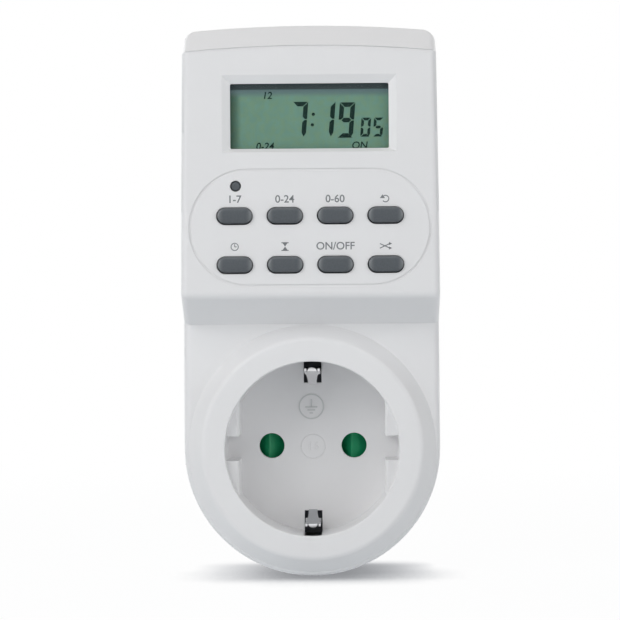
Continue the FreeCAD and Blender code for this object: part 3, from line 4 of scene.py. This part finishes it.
import bpy
from mathutils import Euler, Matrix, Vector


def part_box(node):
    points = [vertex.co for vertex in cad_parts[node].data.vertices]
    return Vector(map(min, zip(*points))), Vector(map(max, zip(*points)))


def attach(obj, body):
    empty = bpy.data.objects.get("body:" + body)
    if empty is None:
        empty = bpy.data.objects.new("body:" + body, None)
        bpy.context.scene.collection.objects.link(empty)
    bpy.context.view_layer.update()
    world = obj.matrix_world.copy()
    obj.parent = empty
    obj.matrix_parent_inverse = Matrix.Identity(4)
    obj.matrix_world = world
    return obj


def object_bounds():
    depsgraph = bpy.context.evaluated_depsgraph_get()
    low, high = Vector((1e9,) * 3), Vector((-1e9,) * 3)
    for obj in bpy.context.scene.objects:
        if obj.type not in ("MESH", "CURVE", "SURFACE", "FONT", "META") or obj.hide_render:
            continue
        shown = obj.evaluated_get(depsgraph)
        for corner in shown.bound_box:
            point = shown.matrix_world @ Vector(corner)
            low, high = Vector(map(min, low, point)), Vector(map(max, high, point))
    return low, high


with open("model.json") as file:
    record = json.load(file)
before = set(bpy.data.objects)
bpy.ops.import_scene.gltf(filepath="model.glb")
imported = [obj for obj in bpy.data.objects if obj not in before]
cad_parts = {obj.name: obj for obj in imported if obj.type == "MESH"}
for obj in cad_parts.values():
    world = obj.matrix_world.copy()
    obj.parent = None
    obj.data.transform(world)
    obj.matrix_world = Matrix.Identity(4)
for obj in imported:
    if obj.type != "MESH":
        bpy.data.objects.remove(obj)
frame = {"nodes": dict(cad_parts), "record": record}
cad_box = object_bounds()

# The object is in metres. Sizes below are millimetres, turned to metres by MM, unless a comment says metres.
MM = 0.001

# Levels of the housing that the printed and moulded marks lie on
FACE_Y = -62.5
FLOOR_Y = -37.5
PRINT_LIFT = 0.012

# Printed letters: how much each outline is thickened, and a capital's share of the font's size
PRINT_BOLD = 0.03
CAPITAL_SHARE = 0.72

# Camera, fitted to the photograph
PHOTO_PX = 620
FOCAL_PX = 2756.5
SENSOR = 36.0
CAMERA_AT = (8.3, -675.0, 28.6)
CAMERA_PAN = math.atan(38.02 / FOCAL_PX)
CAMERA_TILT = math.atan(-11.73 / FOCAL_PX)
CAMERA_ROLL = math.radians(0.4)

# Figures on the display: each with its lower left corner and its size, just in front of the glass
SEGMENT_GAP = 0.004
SEGMENT_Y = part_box("lcd_glass")[0][1] / MM - SEGMENT_GAP
SEGMENT_DEPTH = 0.01
SLANT = 0.08
BIG = dict(width=3.45, height=7.9, thick=1.02, gap=0.1)
SMALL = dict(width=2.15, height=4.25, thick=0.62, gap=0.11)
FIGURES = (("7", -4.0, 69.8, BIG), ("1", 2.1, 69.8, BIG), ("9", 6.5, 69.6, BIG),
           ("0", 11.45, 69.8, SMALL), ("5", 14.25, 69.8, SMALL))
COLON = ((0.86, 74.9), (0.64, 72.54))
COLON_R = 0.37
DISPLAY_WORDS = (("lcd_day", "12", -9.45, 79.08), ("lcd_span", "0-24", -10.03, 67.75),
                 ("lcd_state", "ON", 11.1, 67.85))
DISPLAY_WORD_HEIGHT = 1.6
DISPLAY_WORD_LEAN = 0.15

# The display's painted shadow strips, cast by the window's top and left edges: the glass's edges, and how far
# in from them each strip changes
GLASS_TOP = 81.8
GLASS_LEFT = -17.7
TOP_SHADOW_FRINGE = (3.3, 1.75)
TOP_SHADOW_BAND = (1.5, 1.2)
LEFT_SHADOW_BAND = (1.0, 2.7)

# Marks over the keys, in four columns and two rows
KEY_X = (-16.8, -5.6, 5.6, 16.8)
UPPER_MARK_Z = 55.85
LOWER_MARK_Z = 45.35
MARK_HEIGHT = 1.7
STROKE = 0.2
BOLD_STROKE = 0.22

# Signs on the floor of the recess
EARTH_AT = (-0.35, 9.0)
EARTH_DEPTH = 0.2
EARTH_STROKE = 0.3
ROUNDEL_AT = (0.0, -0.2)
ROUNDEL_DEPTH = 0.025
ROUNDEL_NUMBER_HEIGHT = 2.0
SIGN_R = 2.8

# Surfaces: the part of a noise over which a colour changes, how far a surface's roughness strays from its own,
# the depth of its fine grain, and how finely its softened edges are sampled
MOTTLE_SPAN = (0.35, 0.65)
ROUGH_STRAY = 0.12
GRAIN_DEPTH = 0.1
EDGE_SAMPLES = 6

# Lamps in metres and watts: name, place, width and height, power. All of them look at LAMPS_AIM.
LAMPS_AIM = (0, -0.03, 0.03)
LAMPS = (
    ("key", (-0.55, -0.75, 0.75), (0.7, 0.7), 3.35),
    ("front", (-0.5, -1.0, 0.4), (0.7, 0.7), 1.5),
    ("right", (0.8, -0.7, 0.25), (0.7, 0.9), 4.0),
    ("left", (-0.85, -0.6, 0.2), (0.7, 0.7), 2.4),
    ("top", (-0.05, 0.15, 0.9), (0.9, 0.7), 1.45),
    ("back_left", (-0.7, 0.9, 0.5), (0.8, 0.8), 4.5),
    ("back_right", (0.8, 0.8, 0.3), (0.8, 0.8), 3.5),
)
AMBIENT = 0.085

# The floor, in metres: how far it goes, its two tints, and from where to where its plain white takes over from
# its lit white, of which little is seen near the part and none far off
FLOOR_HALF = 6.0
FLOOR_TINTS = ((0.84, 0.88, 0.91, 1), (0.86, 0.9, 0.93, 1))
GLOW_SPAN = (0.12, 0.45)
GLOW_NEAR = 0.97

# The soft shade round the part's foot: which way the floor looks for the part and how far, how open it is
# where the shade is full and where it ends, and how light the darkest place is
SHADE_UNDER = dict(toward=(-0.2, 0.1, 0.5), reach=12, closed=0.0, opened=0.95)
SHADE_AHEAD = dict(toward=(-0.12, 1.0, 0.15), reach=28, closed=0.5, opened=0.8)
SHADE_DARKEST = 0.31
SHADE_TINT = (0.9, 0.93, 1.0, 1.0)


def nodes_of(name):
    """A new material with its node tree and its principled shader."""
    mat = bpy.data.materials.new(name)
    mat.use_nodes = True
    tree = mat.node_tree
    return mat, tree, tree.nodes["Principled BSDF"]


def add(tree, kind, **sockets):
    """A new node with the named sockets set; an underscore in a name stands for a space."""
    node = tree.nodes.new(kind)
    for key, value in sockets.items():
        node.inputs[key.replace("_", " ")].default_value = value
    return node


def join(tree, value, place):
    """Set a socket to a plain value, or link it to another socket."""
    if isinstance(value, (tuple, float)):
        place.default_value = value
    else:
        tree.links.new(value, place)


def noise(tree, scale, detail, stretch=(1, 1, 1)):
    """Noise in the object's own metres, so it keeps its size on every piece."""
    coords = tree.nodes.new("ShaderNodeTexCoord")
    mapping = add(tree, "ShaderNodeMapping", Scale=stretch)
    texture = add(tree, "ShaderNodeTexNoise", Scale=scale, Detail=detail)
    tree.links.new(coords.outputs["Object"], mapping.inputs["Vector"])
    tree.links.new(mapping.outputs["Vector"], texture.inputs["Vector"])
    return texture.outputs["Fac"]


def ramp(tree, source, low, high):
    """A colour between two that follows a noise."""
    node = tree.nodes.new("ShaderNodeValToRGB")
    for element, position, color in zip(node.color_ramp.elements, MOTTLE_SPAN, (low, high)):
        element.position = position
        element.color = color
    tree.links.new(source, node.inputs["Fac"])
    return node.outputs["Color"]


def fade(tree, source, start, end, low=0.0, high=1.0, shape="SMOOTHSTEP"):
    """A change from low to high while the source goes from start to end, soft at its ends or linear."""
    node = tree.nodes.new("ShaderNodeMapRange")
    node.interpolation_type = shape
    for key, value in (("From Min", start), ("From Max", end), ("To Min", low), ("To Max", high)):
        node.inputs[key].default_value = value
    tree.links.new(source, node.inputs["Value"])
    return node.outputs["Result"]


def blend(tree, factor, first, second):
    """Two colours mixed by a factor; each is a socket or a plain colour."""
    node = tree.nodes.new("ShaderNodeMix")
    node.data_type = "RGBA"
    for value, place in ((factor, node.inputs[0]), (first, node.inputs[6]), (second, node.inputs[7])):
        join(tree, value, place)
    return node.outputs[2]


def reckon(tree, operation, first, second=0.0):
    """One sum on two sockets or plain numbers."""
    node = tree.nodes.new("ShaderNodeMath")
    node.operation = operation
    join(tree, first, node.inputs[0])
    join(tree, second, node.inputs[1])
    return node.outputs["Value"]


def axes_of(tree, kind):
    """The x, y and z of a texture coordinate."""
    at = tree.nodes.new("ShaderNodeTexCoord")
    axes = tree.nodes.new("ShaderNodeSeparateXYZ")
    tree.links.new(at.outputs[kind], axes.inputs["Vector"])
    return axes.outputs


def vary_roughness(tree, shader, source, low, high):
    """Let a shader's roughness follow a noise."""
    tree.links.new(fade(tree, source, 0.0, 1.0, low, high, "LINEAR"), shader.inputs["Roughness"])


def show(tree, factor, first, second, output="Material Output"):
    """Send two shaders, mixed by a factor, to the tree's output."""
    mixed = tree.nodes.new("ShaderNodeMixShader")
    for source, place in ((factor, mixed.inputs["Fac"]), (first, mixed.inputs[1]), (second, mixed.inputs[2])):
        tree.links.new(source, place)
    tree.links.new(mixed.outputs["Shader"], tree.nodes[output].inputs["Surface"])


def surface(name, color, rough, spread=0.03, grain=900.0, bump=0.02, edge=0.12, stretch=(1, 1, 1),
            mottle=60.0, **sockets):
    """A moulded or metal surface: slight mottle, fine grain, softened edges."""
    mat, tree, shader = nodes_of(name)
    low = tuple(c * (1 - spread) for c in color) + (1,)
    high = tuple(min(1.0, c * (1 + spread)) for c in color) + (1,)
    tree.links.new(ramp(tree, noise(tree, mottle, 3.0), low, high), shader.inputs["Base Color"])
    fine = noise(tree, grain, 2.0, stretch)
    vary_roughness(tree, shader, fine, rough * (1 - ROUGH_STRAY), rough * (1 + ROUGH_STRAY))
    soft = add(tree, "ShaderNodeBevel", Radius=edge * MM)
    soft.samples = EDGE_SAMPLES
    relief = add(tree, "ShaderNodeBump", Strength=bump, Distance=GRAIN_DEPTH * MM)
    tree.links.new(fine, relief.inputs["Height"])
    tree.links.new(soft.outputs["Normal"], relief.inputs["Normal"])
    tree.links.new(relief.outputs["Normal"], shader.inputs["Normal"])
    for key, value in sockets.items():
        shader.inputs[key.replace("_", " ")].default_value = value
    return mat


def colour_of(mat):
    """A surface's tree, the socket its colour goes into and the colour that goes there."""
    entry = mat.node_tree.nodes["Principled BSDF"].inputs["Base Color"]
    return mat.node_tree, entry, entry.links[0].from_socket


def clear_lens():
    """Clear plastic: light passes straight through, and only the gloss of its outer side is seen."""
    mat, tree, shader = nodes_of("clear_lens")
    tree.nodes.remove(shader)
    through = add(tree, "ShaderNodeBsdfTransparent", Color=(0.97, 0.98, 0.975, 1))
    gloss = tree.nodes.new("ShaderNodeBsdfGlossy")
    vary_roughness(tree, gloss, noise(tree, 400.0, 2.0), 0.03, 0.08)
    facing = add(tree, "ShaderNodeFresnel", IOR=1.12)
    inside = tree.nodes.new("ShaderNodeNewGeometry").outputs["Backfacing"]
    outer = reckon(tree, "MULTIPLY", facing.outputs["Fac"], reckon(tree, "SUBTRACT", 1.0, inside))
    show(tree, outer, through.outputs["BSDF"], gloss.outputs["BSDF"])
    return mat


def display_green():
    """The display's green: patchy, with a painted shadow along its top, dark with a cool grey fringe, and a
    dim painted shadow at its left.
    """
    mat = surface("lcd_green", (0.182, 0.335, 0.27), 0.3, spread=0.04, grain=3500.0, bump=0.01, edge=0.02,
                  mottle=400.0, Specular_IOR_Level=0.1)
    tree, entry, green = colour_of(mat)
    x, _, z = axes_of(tree, "Object")
    # Painted shadow of the window's edges on the glass: a cool grey fringe and a dark band under its top, and
    # a dim band along its left
    shadow_fringe = fade(tree, z, *((GLASS_TOP - below) * MM for below in TOP_SHADOW_FRINGE))
    top_shadow = fade(tree, z, *((GLASS_TOP - below) * MM for below in TOP_SHADOW_BAND))
    left = fade(tree, x, *((GLASS_LEFT + beside) * MM for beside in LEFT_SHADOW_BAND), 0.55, 0.0)
    patchy = fade(tree, noise(tree, 900.0, 1.0), *MOTTLE_SPAN)
    yellower = (0.215, 0.335, 0.215, 1.0)
    # The painted shadow's tones: at the left, in the fringe and in the dark band under the top
    left_shadow_green = (0.05, 0.1, 0.07, 1.0)
    fringe_shadow_green = (0.15, 0.225, 0.23, 1.0)
    shadow = (0.066, 0.086, 0.092, 1.0)
    tone = blend(tree, patchy, blend(tree, 0.6, green, yellower), green)
    for strip, strip_tone in ((left, left_shadow_green), (shadow_fringe, fringe_shadow_green), (top_shadow, shadow)):
        tone = blend(tree, strip, tone, strip_tone)
    tree.links.new(tone, entry)
    return mat


def key_grey():
    """The keys' grey, with a painted highlight paler towards the rims of their dished tops: at the ends and
    along the top.
    """
    mat = surface("grey_rubbery_plastic", (0.069, 0.08, 0.091), 0.36, spread=0.07, grain=3200.0, bump=0.06,
                  edge=0.45, mottle=2600.0)
    tree, entry, grey = colour_of(mat)
    # Painted highlight: the ends and the upper edge lighter, where light falls on the rims
    highlight_grey = (0.25, 0.265, 0.275, 1.0)
    x, _, z = axes_of(tree, "Generated")
    off_middle = reckon(tree, "ABSOLUTE", reckon(tree, "SUBTRACT", x, 0.5))
    ends = fade(tree, off_middle, 0.26, 0.5)
    lit_top = fade(tree, z, 0.65, 1.0, 0.0, 0.5)
    painted_highlight = reckon(tree, "MAXIMUM", ends, lit_top)
    tree.links.new(blend(tree, painted_highlight, grey, highlight_grey), entry)
    return mat


def nickel_strip():
    """The earth clips' plated strip, with painted shade: dimmer where it goes into its slots and down at the
    lower clip.
    """
    mat = surface("nickel_strip", (0.9, 0.905, 0.92), 0.42, spread=0.05, grain=1800.0, bump=0.12,
                  edge=0.12, stretch=(1, 1, 0.15), Metallic=1.0)
    tree, entry, plating = colour_of(mat)
    # Painted shade: darker in the nooks where the strip meets its slot, and more so towards the lower clip
    # (lower)
    shade_grey = (0.13, 0.135, 0.15, 1.0)
    close = add(tree, "ShaderNodeAmbientOcclusion", Distance=1.6 * MM).outputs["AO"]
    nook_shade = fade(tree, close, 0.35, 0.85, 0.6, 0.0)
    lower = fade(tree, axes_of(tree, "Object")[2], -10 * MM, 10 * MM, 0.5, 0.12)
    clip_shade = reckon(tree, "MAXIMUM", nook_shade, lower)
    tree.links.new(blend(tree, clip_shade, plating, shade_grey), entry)
    return mat


WHITE = surface("white_plastic", (0.842, 0.839, 0.845), 0.42, spread=0.004, grain=2600.0, bump=0.03,
                edge=0.15, Specular_IOR_Level=0.4)
# The raised signs: the housing's white plastic made darker, as painted shade on their relief
SHADED_RELIEF = surface("raised_sign_painted_shade", (0.66, 0.675, 0.675), 0.5, spread=0.01, edge=0.05)
MARK = surface("print_grey", (0.2, 0.21, 0.22), 0.6, spread=0.05, edge=0.01)
INK = surface("lcd_ink", (0.014, 0.034, 0.029), 0.45, spread=0.1, edge=0.005, Specular_IOR_Level=0.05)
MATERIALS = {
    "housing": WHITE,
    "keys": key_grey(),
    "lens": clear_lens(),
    "lcd_glass": display_green(),
    "inner_white": surface("inner_white", (0.62, 0.62, 0.6), 0.5),
    "contact_rubber": surface("contact_rubber", (0.03, 0.03, 0.035), 0.7, stretch=(8, 1, 1)),
    "silicone": surface("silicone", (0.55, 0.55, 0.53), 0.6, Subsurface_Weight=0.1),
    "board": surface("board_green", (0.02, 0.13, 0.05), 0.35, spread=0.15),
    "chip": surface("black_mould", (0.015, 0.015, 0.016), 0.55, bump=0.1),
    "tin": surface("tinned", (0.62, 0.62, 0.6), 0.3, Metallic=1.0),
    "steel": surface("steel", (0.5, 0.5, 0.5), 0.32, spread=0.05, Metallic=1.0),
    "relay_case": surface("relay_blue", (0.02, 0.05, 0.2), 0.35),
    "film_case": surface("film_red", (0.35, 0.04, 0.03), 0.4),
    "can": surface("can_sleeve", (0.03, 0.035, 0.07), 0.3),
    "disc_coat": surface("disc_blue", (0.02, 0.08, 0.3), 0.5, bump=0.1),
    "resistor_coat": surface("resistor_blue", (0.2, 0.33, 0.36), 0.5),
    "cable": surface("cable_grey", (0.3, 0.3, 0.3), 0.5),
    "pins": surface("nickel_pins", (0.72, 0.69, 0.63), 0.2, spread=0.03, bump=0.03, stretch=(1, 8, 1),
                    Metallic=1.0),
    "contact_brass": surface("brass", (0.6, 0.42, 0.16), 0.3, Metallic=1.0),
    "earth_metal": nickel_strip(),
    "carrier": surface("black_thermoset", (0.11, 0.118, 0.14), 0.5, bump=0.1),
    "shutter": surface("green_plastic", (0.009, 0.35, 0.145), 0.35, spread=0.08, bump=0.05, edge=0.25),
}

for part in frame["record"]["subparts"]:
    for slot in frame["nodes"][part["node"]].material_slots:
        slot.material = MATERIALS[part["material_slot"]]


def stand(name, data):
    """A new object with this data, in the scene."""
    obj = bpy.data.objects.new(name, data)
    bpy.context.collection.objects.link(obj)
    return obj


def keep(obj, material):
    """Give the new piece its material and let it ride on the housing."""
    obj.data.materials.append(material)
    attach(obj, "housing")


def plates(name, polygons, y, depth, material):
    """Flat shapes of (x, z) points in millimetres, standing forward from y by depth."""
    vertices, faces = [], []
    for points in polygons:
        first, count = len(vertices), len(points)
        vertices += [(x * MM, y * MM, z * MM) for x, z in points]
        vertices += [(x * MM, (y - depth) * MM, z * MM) for x, z in points]
        faces.append(tuple(range(first, first + count))[::-1])
        faces.append(tuple(range(first + count, first + 2 * count)))
        for n in range(count):
            m = (n + 1) % count
            faces.append((first + n, first + m, first + count + m, first + count + n))
    mesh = bpy.data.meshes.new(name)
    mesh.from_pydata(vertices, [], faces)
    mesh.update()
    keep(stand(name, mesh), material)


def words(name, text, x, z, height, material, y=FACE_Y, lean=0.0):
    """Plain printed figures or letters, centred at x, z."""
    curve = bpy.data.curves.new(name, "FONT")
    curve.body = text
    curve.align_x = "CENTER"
    curve.align_y = "CENTER"
    curve.size = height * MM / CAPITAL_SHARE
    curve.extrude = PRINT_LIFT / 2 * MM
    curve.offset = PRINT_BOLD * MM
    curve.shear = lean
    obj = stand(name, curve)
    obj.rotation_euler = Euler((math.pi / 2, 0, 0))
    obj.location = (x * MM, (y - PRINT_LIFT / 2) * MM, z * MM)
    keep(obj, material)


def line(a, b, width):
    """A straight stroke from a to b."""
    dx, dz = b[0] - a[0], b[1] - a[1]
    length = math.hypot(dx, dz)
    nx, nz = -dz / length * width / 2, dx / length * width / 2
    return [(a[0] + nx, a[1] + nz), (b[0] + nx, b[1] + nz),
            (b[0] - nx, b[1] - nz), (a[0] - nx, a[1] - nz)]


def level(x, half, z, width):
    """A level stroke, half its length to either side of x."""
    return line((x - half, z), (x + half, z), width)


def arc(centre, r, start, end, width, steps=24):
    """A curved stroke between two angles in degrees, made of short pieces."""
    strokes = []
    for n in range(steps):
        a0 = math.radians(start + (end - start) * n / steps)
        a1 = math.radians(start + (end - start) * (n + 1) / steps)
        ring = [(r + width / 2, a0), (r + width / 2, a1), (r - width / 2, a1), (r - width / 2, a0)]
        strokes.append([(centre[0] + q * math.cos(a), centre[1] + q * math.sin(a)) for q, a in ring])
    return strokes


def spot(centre, r, steps=20):
    """A round dot."""
    turn = [2 * math.pi * n / steps for n in range(steps)]
    return [(centre[0] + r * math.cos(a), centre[1] + r * math.sin(a)) for a in turn]


# The lit segments of each figure that the display shows
SEGMENTS = {"0": "abcdef", "1": "bc", "5": "afgcd", "7": "abc", "9": "abcdfg"}


def digit(figure, x, z, width, height, thick, gap):
    """The lit segments of a slanted seven-segment figure whose lower left corner is at x, z."""
    w, h, t, g, mid = width, height, thick, gap, height / 2
    s = t / 2
    shapes = {
        "a": [(g, h), (w - g, h), (w - t - g, h - t), (t + g, h - t)],
        "b": [(w, h - g), (w, mid + g), (w - s, mid + g), (w - t, mid + s + g), (w - t, h - t - g)],
        "c": [(w, mid - g), (w, t), (w - s, g), (w - t, t + g), (w - t, mid - s - g), (w - s, mid - g)],
        "d": [(g, 0), (t + g, t), (w - t - g, t), (w - g, 0)],
        "e": [(0, g), (0, mid - g), (s, mid - g), (t, mid - s - g), (t, t + g)],
        "f": [(0, mid + g), (0, h - g), (t, h - t - g), (t, mid + s + g), (s, mid + g)],
        "g": [(s + g, mid), (t + g, mid + s), (w - t - g, mid + s), (w - s - g, mid),
              (w - t - g, mid - s), (t + g, mid - s)],
    }
    return [[(x + px + SLANT * (pz - mid), z + pz) for px, pz in shapes[k]] for k in SEGMENTS[figure]]


def display():
    """Plain figures, a colon and small generic words on the display glass."""
    lit = []
    for figure, x, z, size in FIGURES:
        lit += digit(figure, x, z, **size)
    lit += [spot(at, COLON_R) for at in COLON]
    plates("lcd_figures", lit, SEGMENT_Y, SEGMENT_DEPTH, INK)
    for name, text, x, z in DISPLAY_WORDS:
        words(name, text, x, z, DISPLAY_WORD_HEIGHT, INK, SEGMENT_Y, DISPLAY_WORD_LEAN)


def key_marks():
    """Small generic words and signs over the keys, in the places of their labels."""
    top, low, r = UPPER_MARK_Z, LOWER_MARK_Z, MARK_HEIGHT / 2
    words("mark_week", "1-7", KEY_X[0], top, MARK_HEIGHT, MARK)
    words("mark_hour", "0-24", KEY_X[1], top, MARK_HEIGHT, MARK)
    words("mark_minute", "0-60", KEY_X[2], top, MARK_HEIGHT, MARK)
    x = KEY_X[3]
    turn_back = arc((x, top), r * 0.85, -140, 140, BOLD_STROKE)
    turn_back.append([(x - 1.25, top + 0.1), (x - 0.1, top + 0.1), (x - 0.68, top + 0.95)])
    plates("mark_recall", turn_back, FACE_Y, PRINT_LIFT, MARK)
    x = KEY_X[0]
    clock = arc((x, low), r * 0.95, 0, 360, STROKE)
    clock += [line((x, low), (x, low + 0.6), STROKE), line((x, low), (x + 0.45, low), STROKE)]
    plates("mark_clock", clock, FACE_Y, PRINT_LIFT, MARK)
    x = KEY_X[1]
    hourglass = [[(x - 0.6, low + r), (x + 0.6, low + r), (x, low)],
                 [(x - 0.6, low - r), (x, low), (x + 0.6, low - r)]]
    hourglass += [level(x, 0.8, low + r, STROKE), level(x, 0.8, low - r, STROKE)]
    plates("mark_timer", hourglass, FACE_Y, PRINT_LIFT, MARK)
    words("mark_mode", "ON/OFF", KEY_X[2], low, MARK_HEIGHT, MARK)
    x = KEY_X[3]
    crossed = []
    for side in (-1, 1):
        crossed.append(line((x - 1.3, low - side * 0.5), (x + 0.9, low + side * 0.5), BOLD_STROKE))
        crossed.append([(x + 0.7, low + side * 0.85), (x + 0.7, low + side * 0.15),
                        (x + 1.4, low + side * 0.5)])
    plates("mark_random", crossed, FACE_Y, PRINT_LIFT, MARK)


def moulded_signs():
    """The raised earth sign and, below it, a faint plain roundel on the floor of the recess."""
    x, z = EARTH_AT
    sign = arc(EARTH_AT, SIGN_R, 0, 360, EARTH_STROKE, 40)
    sign.append(line((x, z + 1.7), (x, z - 0.1), EARTH_STROKE))
    sign += [level(x, half, z - down, EARTH_STROKE) for half, down in ((1.4, 0.1), (0.9, 0.8), (0.4, 1.5))]
    plates("earth_sign", sign, FLOOR_Y, EARTH_DEPTH, SHADED_RELIEF)
    plates("centre_ring", arc(ROUNDEL_AT, SIGN_R, 0, 360, STROKE, 40), FLOOR_Y, ROUNDEL_DEPTH, WHITE)
    words("centre_number", "16", *ROUNDEL_AT, ROUNDEL_NUMBER_HEIGHT, WHITE, FLOOR_Y)


def camera():
    """The photograph's view of the part."""
    data = bpy.data.cameras.new("camera")
    data.sensor_width = SENSOR
    data.lens = FOCAL_PX / PHOTO_PX * SENSOR
    data.clip_start = 0.01
    data.clip_end = 20.0
    obj = stand("camera", data)
    obj.location = [v * MM for v in CAMERA_AT]
    turn = Euler((math.pi / 2 - CAMERA_TILT, 0, CAMERA_PAN)).to_matrix()
    roll = Euler((0, 0, -CAMERA_ROLL)).to_matrix()
    obj.rotation_euler = (turn @ roll).to_euler()
    bpy.context.scene.camera = obj


def lights():
    """Large soft lamps on every side."""
    for name, at, size, watts in LAMPS:
        data = bpy.data.lights.new(name, "AREA")
        data.shape = "RECTANGLE"
        data.size, data.size_y = size
        data.energy = watts
        obj = stand(name, data)
        obj.location = at
        obj.rotation_euler = (Vector(LAMPS_AIM) - Vector(at)).to_track_quat("-Z", "Y").to_euler()


def seen(tree):
    """One for rays of the camera, of gloss and of clear things, which see the pale backdrop."""
    rays = tree.nodes.new("ShaderNodeLightPath").outputs
    bent = reckon(tree, "MAXIMUM", rays["Is Glossy Ray"], rays["Is Transmission Ray"])
    return reckon(tree, "MAXIMUM", bent, rays["Is Camera Ray"])


def backdrop():
    """A world that is white to look at and lights the part only faintly."""
    world = bpy.data.worlds.new("studio")
    bpy.context.scene.world = world
    world.use_nodes = True
    tree = world.node_tree
    lit = tree.nodes["Background"]
    lit.inputs["Color"].default_value = (1, 1, 1, 1)
    lit.inputs["Strength"].default_value = AMBIENT
    pale = add(tree, "ShaderNodeBackground", Color=(1, 1, 1, 1), Strength=1.0)
    show(tree, seen(tree), lit.outputs["Background"], pale.outputs["Background"], "World Output")


def shade(tree, toward, reach, closed, opened):
    """How light the floor is where the part stands within reach toward one side."""
    lean = add(tree, "ShaderNodeCombineXYZ", X=toward[0], Y=toward[1], Z=toward[2])
    openness = add(tree, "ShaderNodeAmbientOcclusion", Distance=reach * MM)
    tree.links.new(lean.outputs["Vector"], openness.inputs["Normal"])
    return fade(tree, openness.outputs["AO"], closed, opened, SHADE_DARKEST, 1.0, "LINEAR")


def floor():
    """A pale floor that is white to look at but for the part's shade, which the camera alone sees."""
    foot_z = cad_box[0][2]
    corners = [(x * FLOOR_HALF, y * FLOOR_HALF, foot_z) for x, y in ((-1, -1), (1, -1), (1, 1), (-1, 1))]
    mesh = bpy.data.meshes.new("floor")
    mesh.from_pydata(corners, [], [(0, 1, 2, 3)])
    obj = stand("floor", mesh)
    mat, tree, shader = nodes_of("pale_floor")
    shader.inputs["Roughness"].default_value = 0.9
    shader.inputs["Specular IOR Level"].default_value = 0.1
    tint = ramp(tree, noise(tree, 8.0, 2.0), *FLOOR_TINTS)
    tree.links.new(tint, shader.inputs["Base Color"])
    away = tree.nodes.new("ShaderNodeVectorMath")
    away.operation = "LENGTH"
    tree.links.new(tree.nodes.new("ShaderNodeTexCoord").outputs["Object"], away.inputs[0])
    share = fade(tree, away.outputs["Value"], *GLOW_SPAN, GLOW_NEAR, 1.0)
    darker = reckon(tree, "MINIMUM", shade(tree, **SHADE_UNDER), shade(tree, **SHADE_AHEAD))
    rays = tree.nodes.new("ShaderNodeLightPath").outputs
    light = reckon(tree, "MAXIMUM", darker, reckon(tree, "SUBTRACT", 1.0, rays["Is Camera Ray"]))
    glow = tree.nodes.new("ShaderNodeEmission")
    join(tree, blend(tree, light, SHADE_TINT, (1.0, 1.0, 1.0, 1.0)), glow.inputs["Color"])
    join(tree, light, glow.inputs["Strength"])
    white = reckon(tree, "MULTIPLY", share, seen(tree))
    show(tree, white, shader.outputs["BSDF"], glow.outputs["Emission"])
    mesh.materials.append(mat)


camera()
backdrop()
floor()
lights()
display()
key_marks()
moulded_signs()

bpy.context.scene.view_settings.view_transform = "Standard"
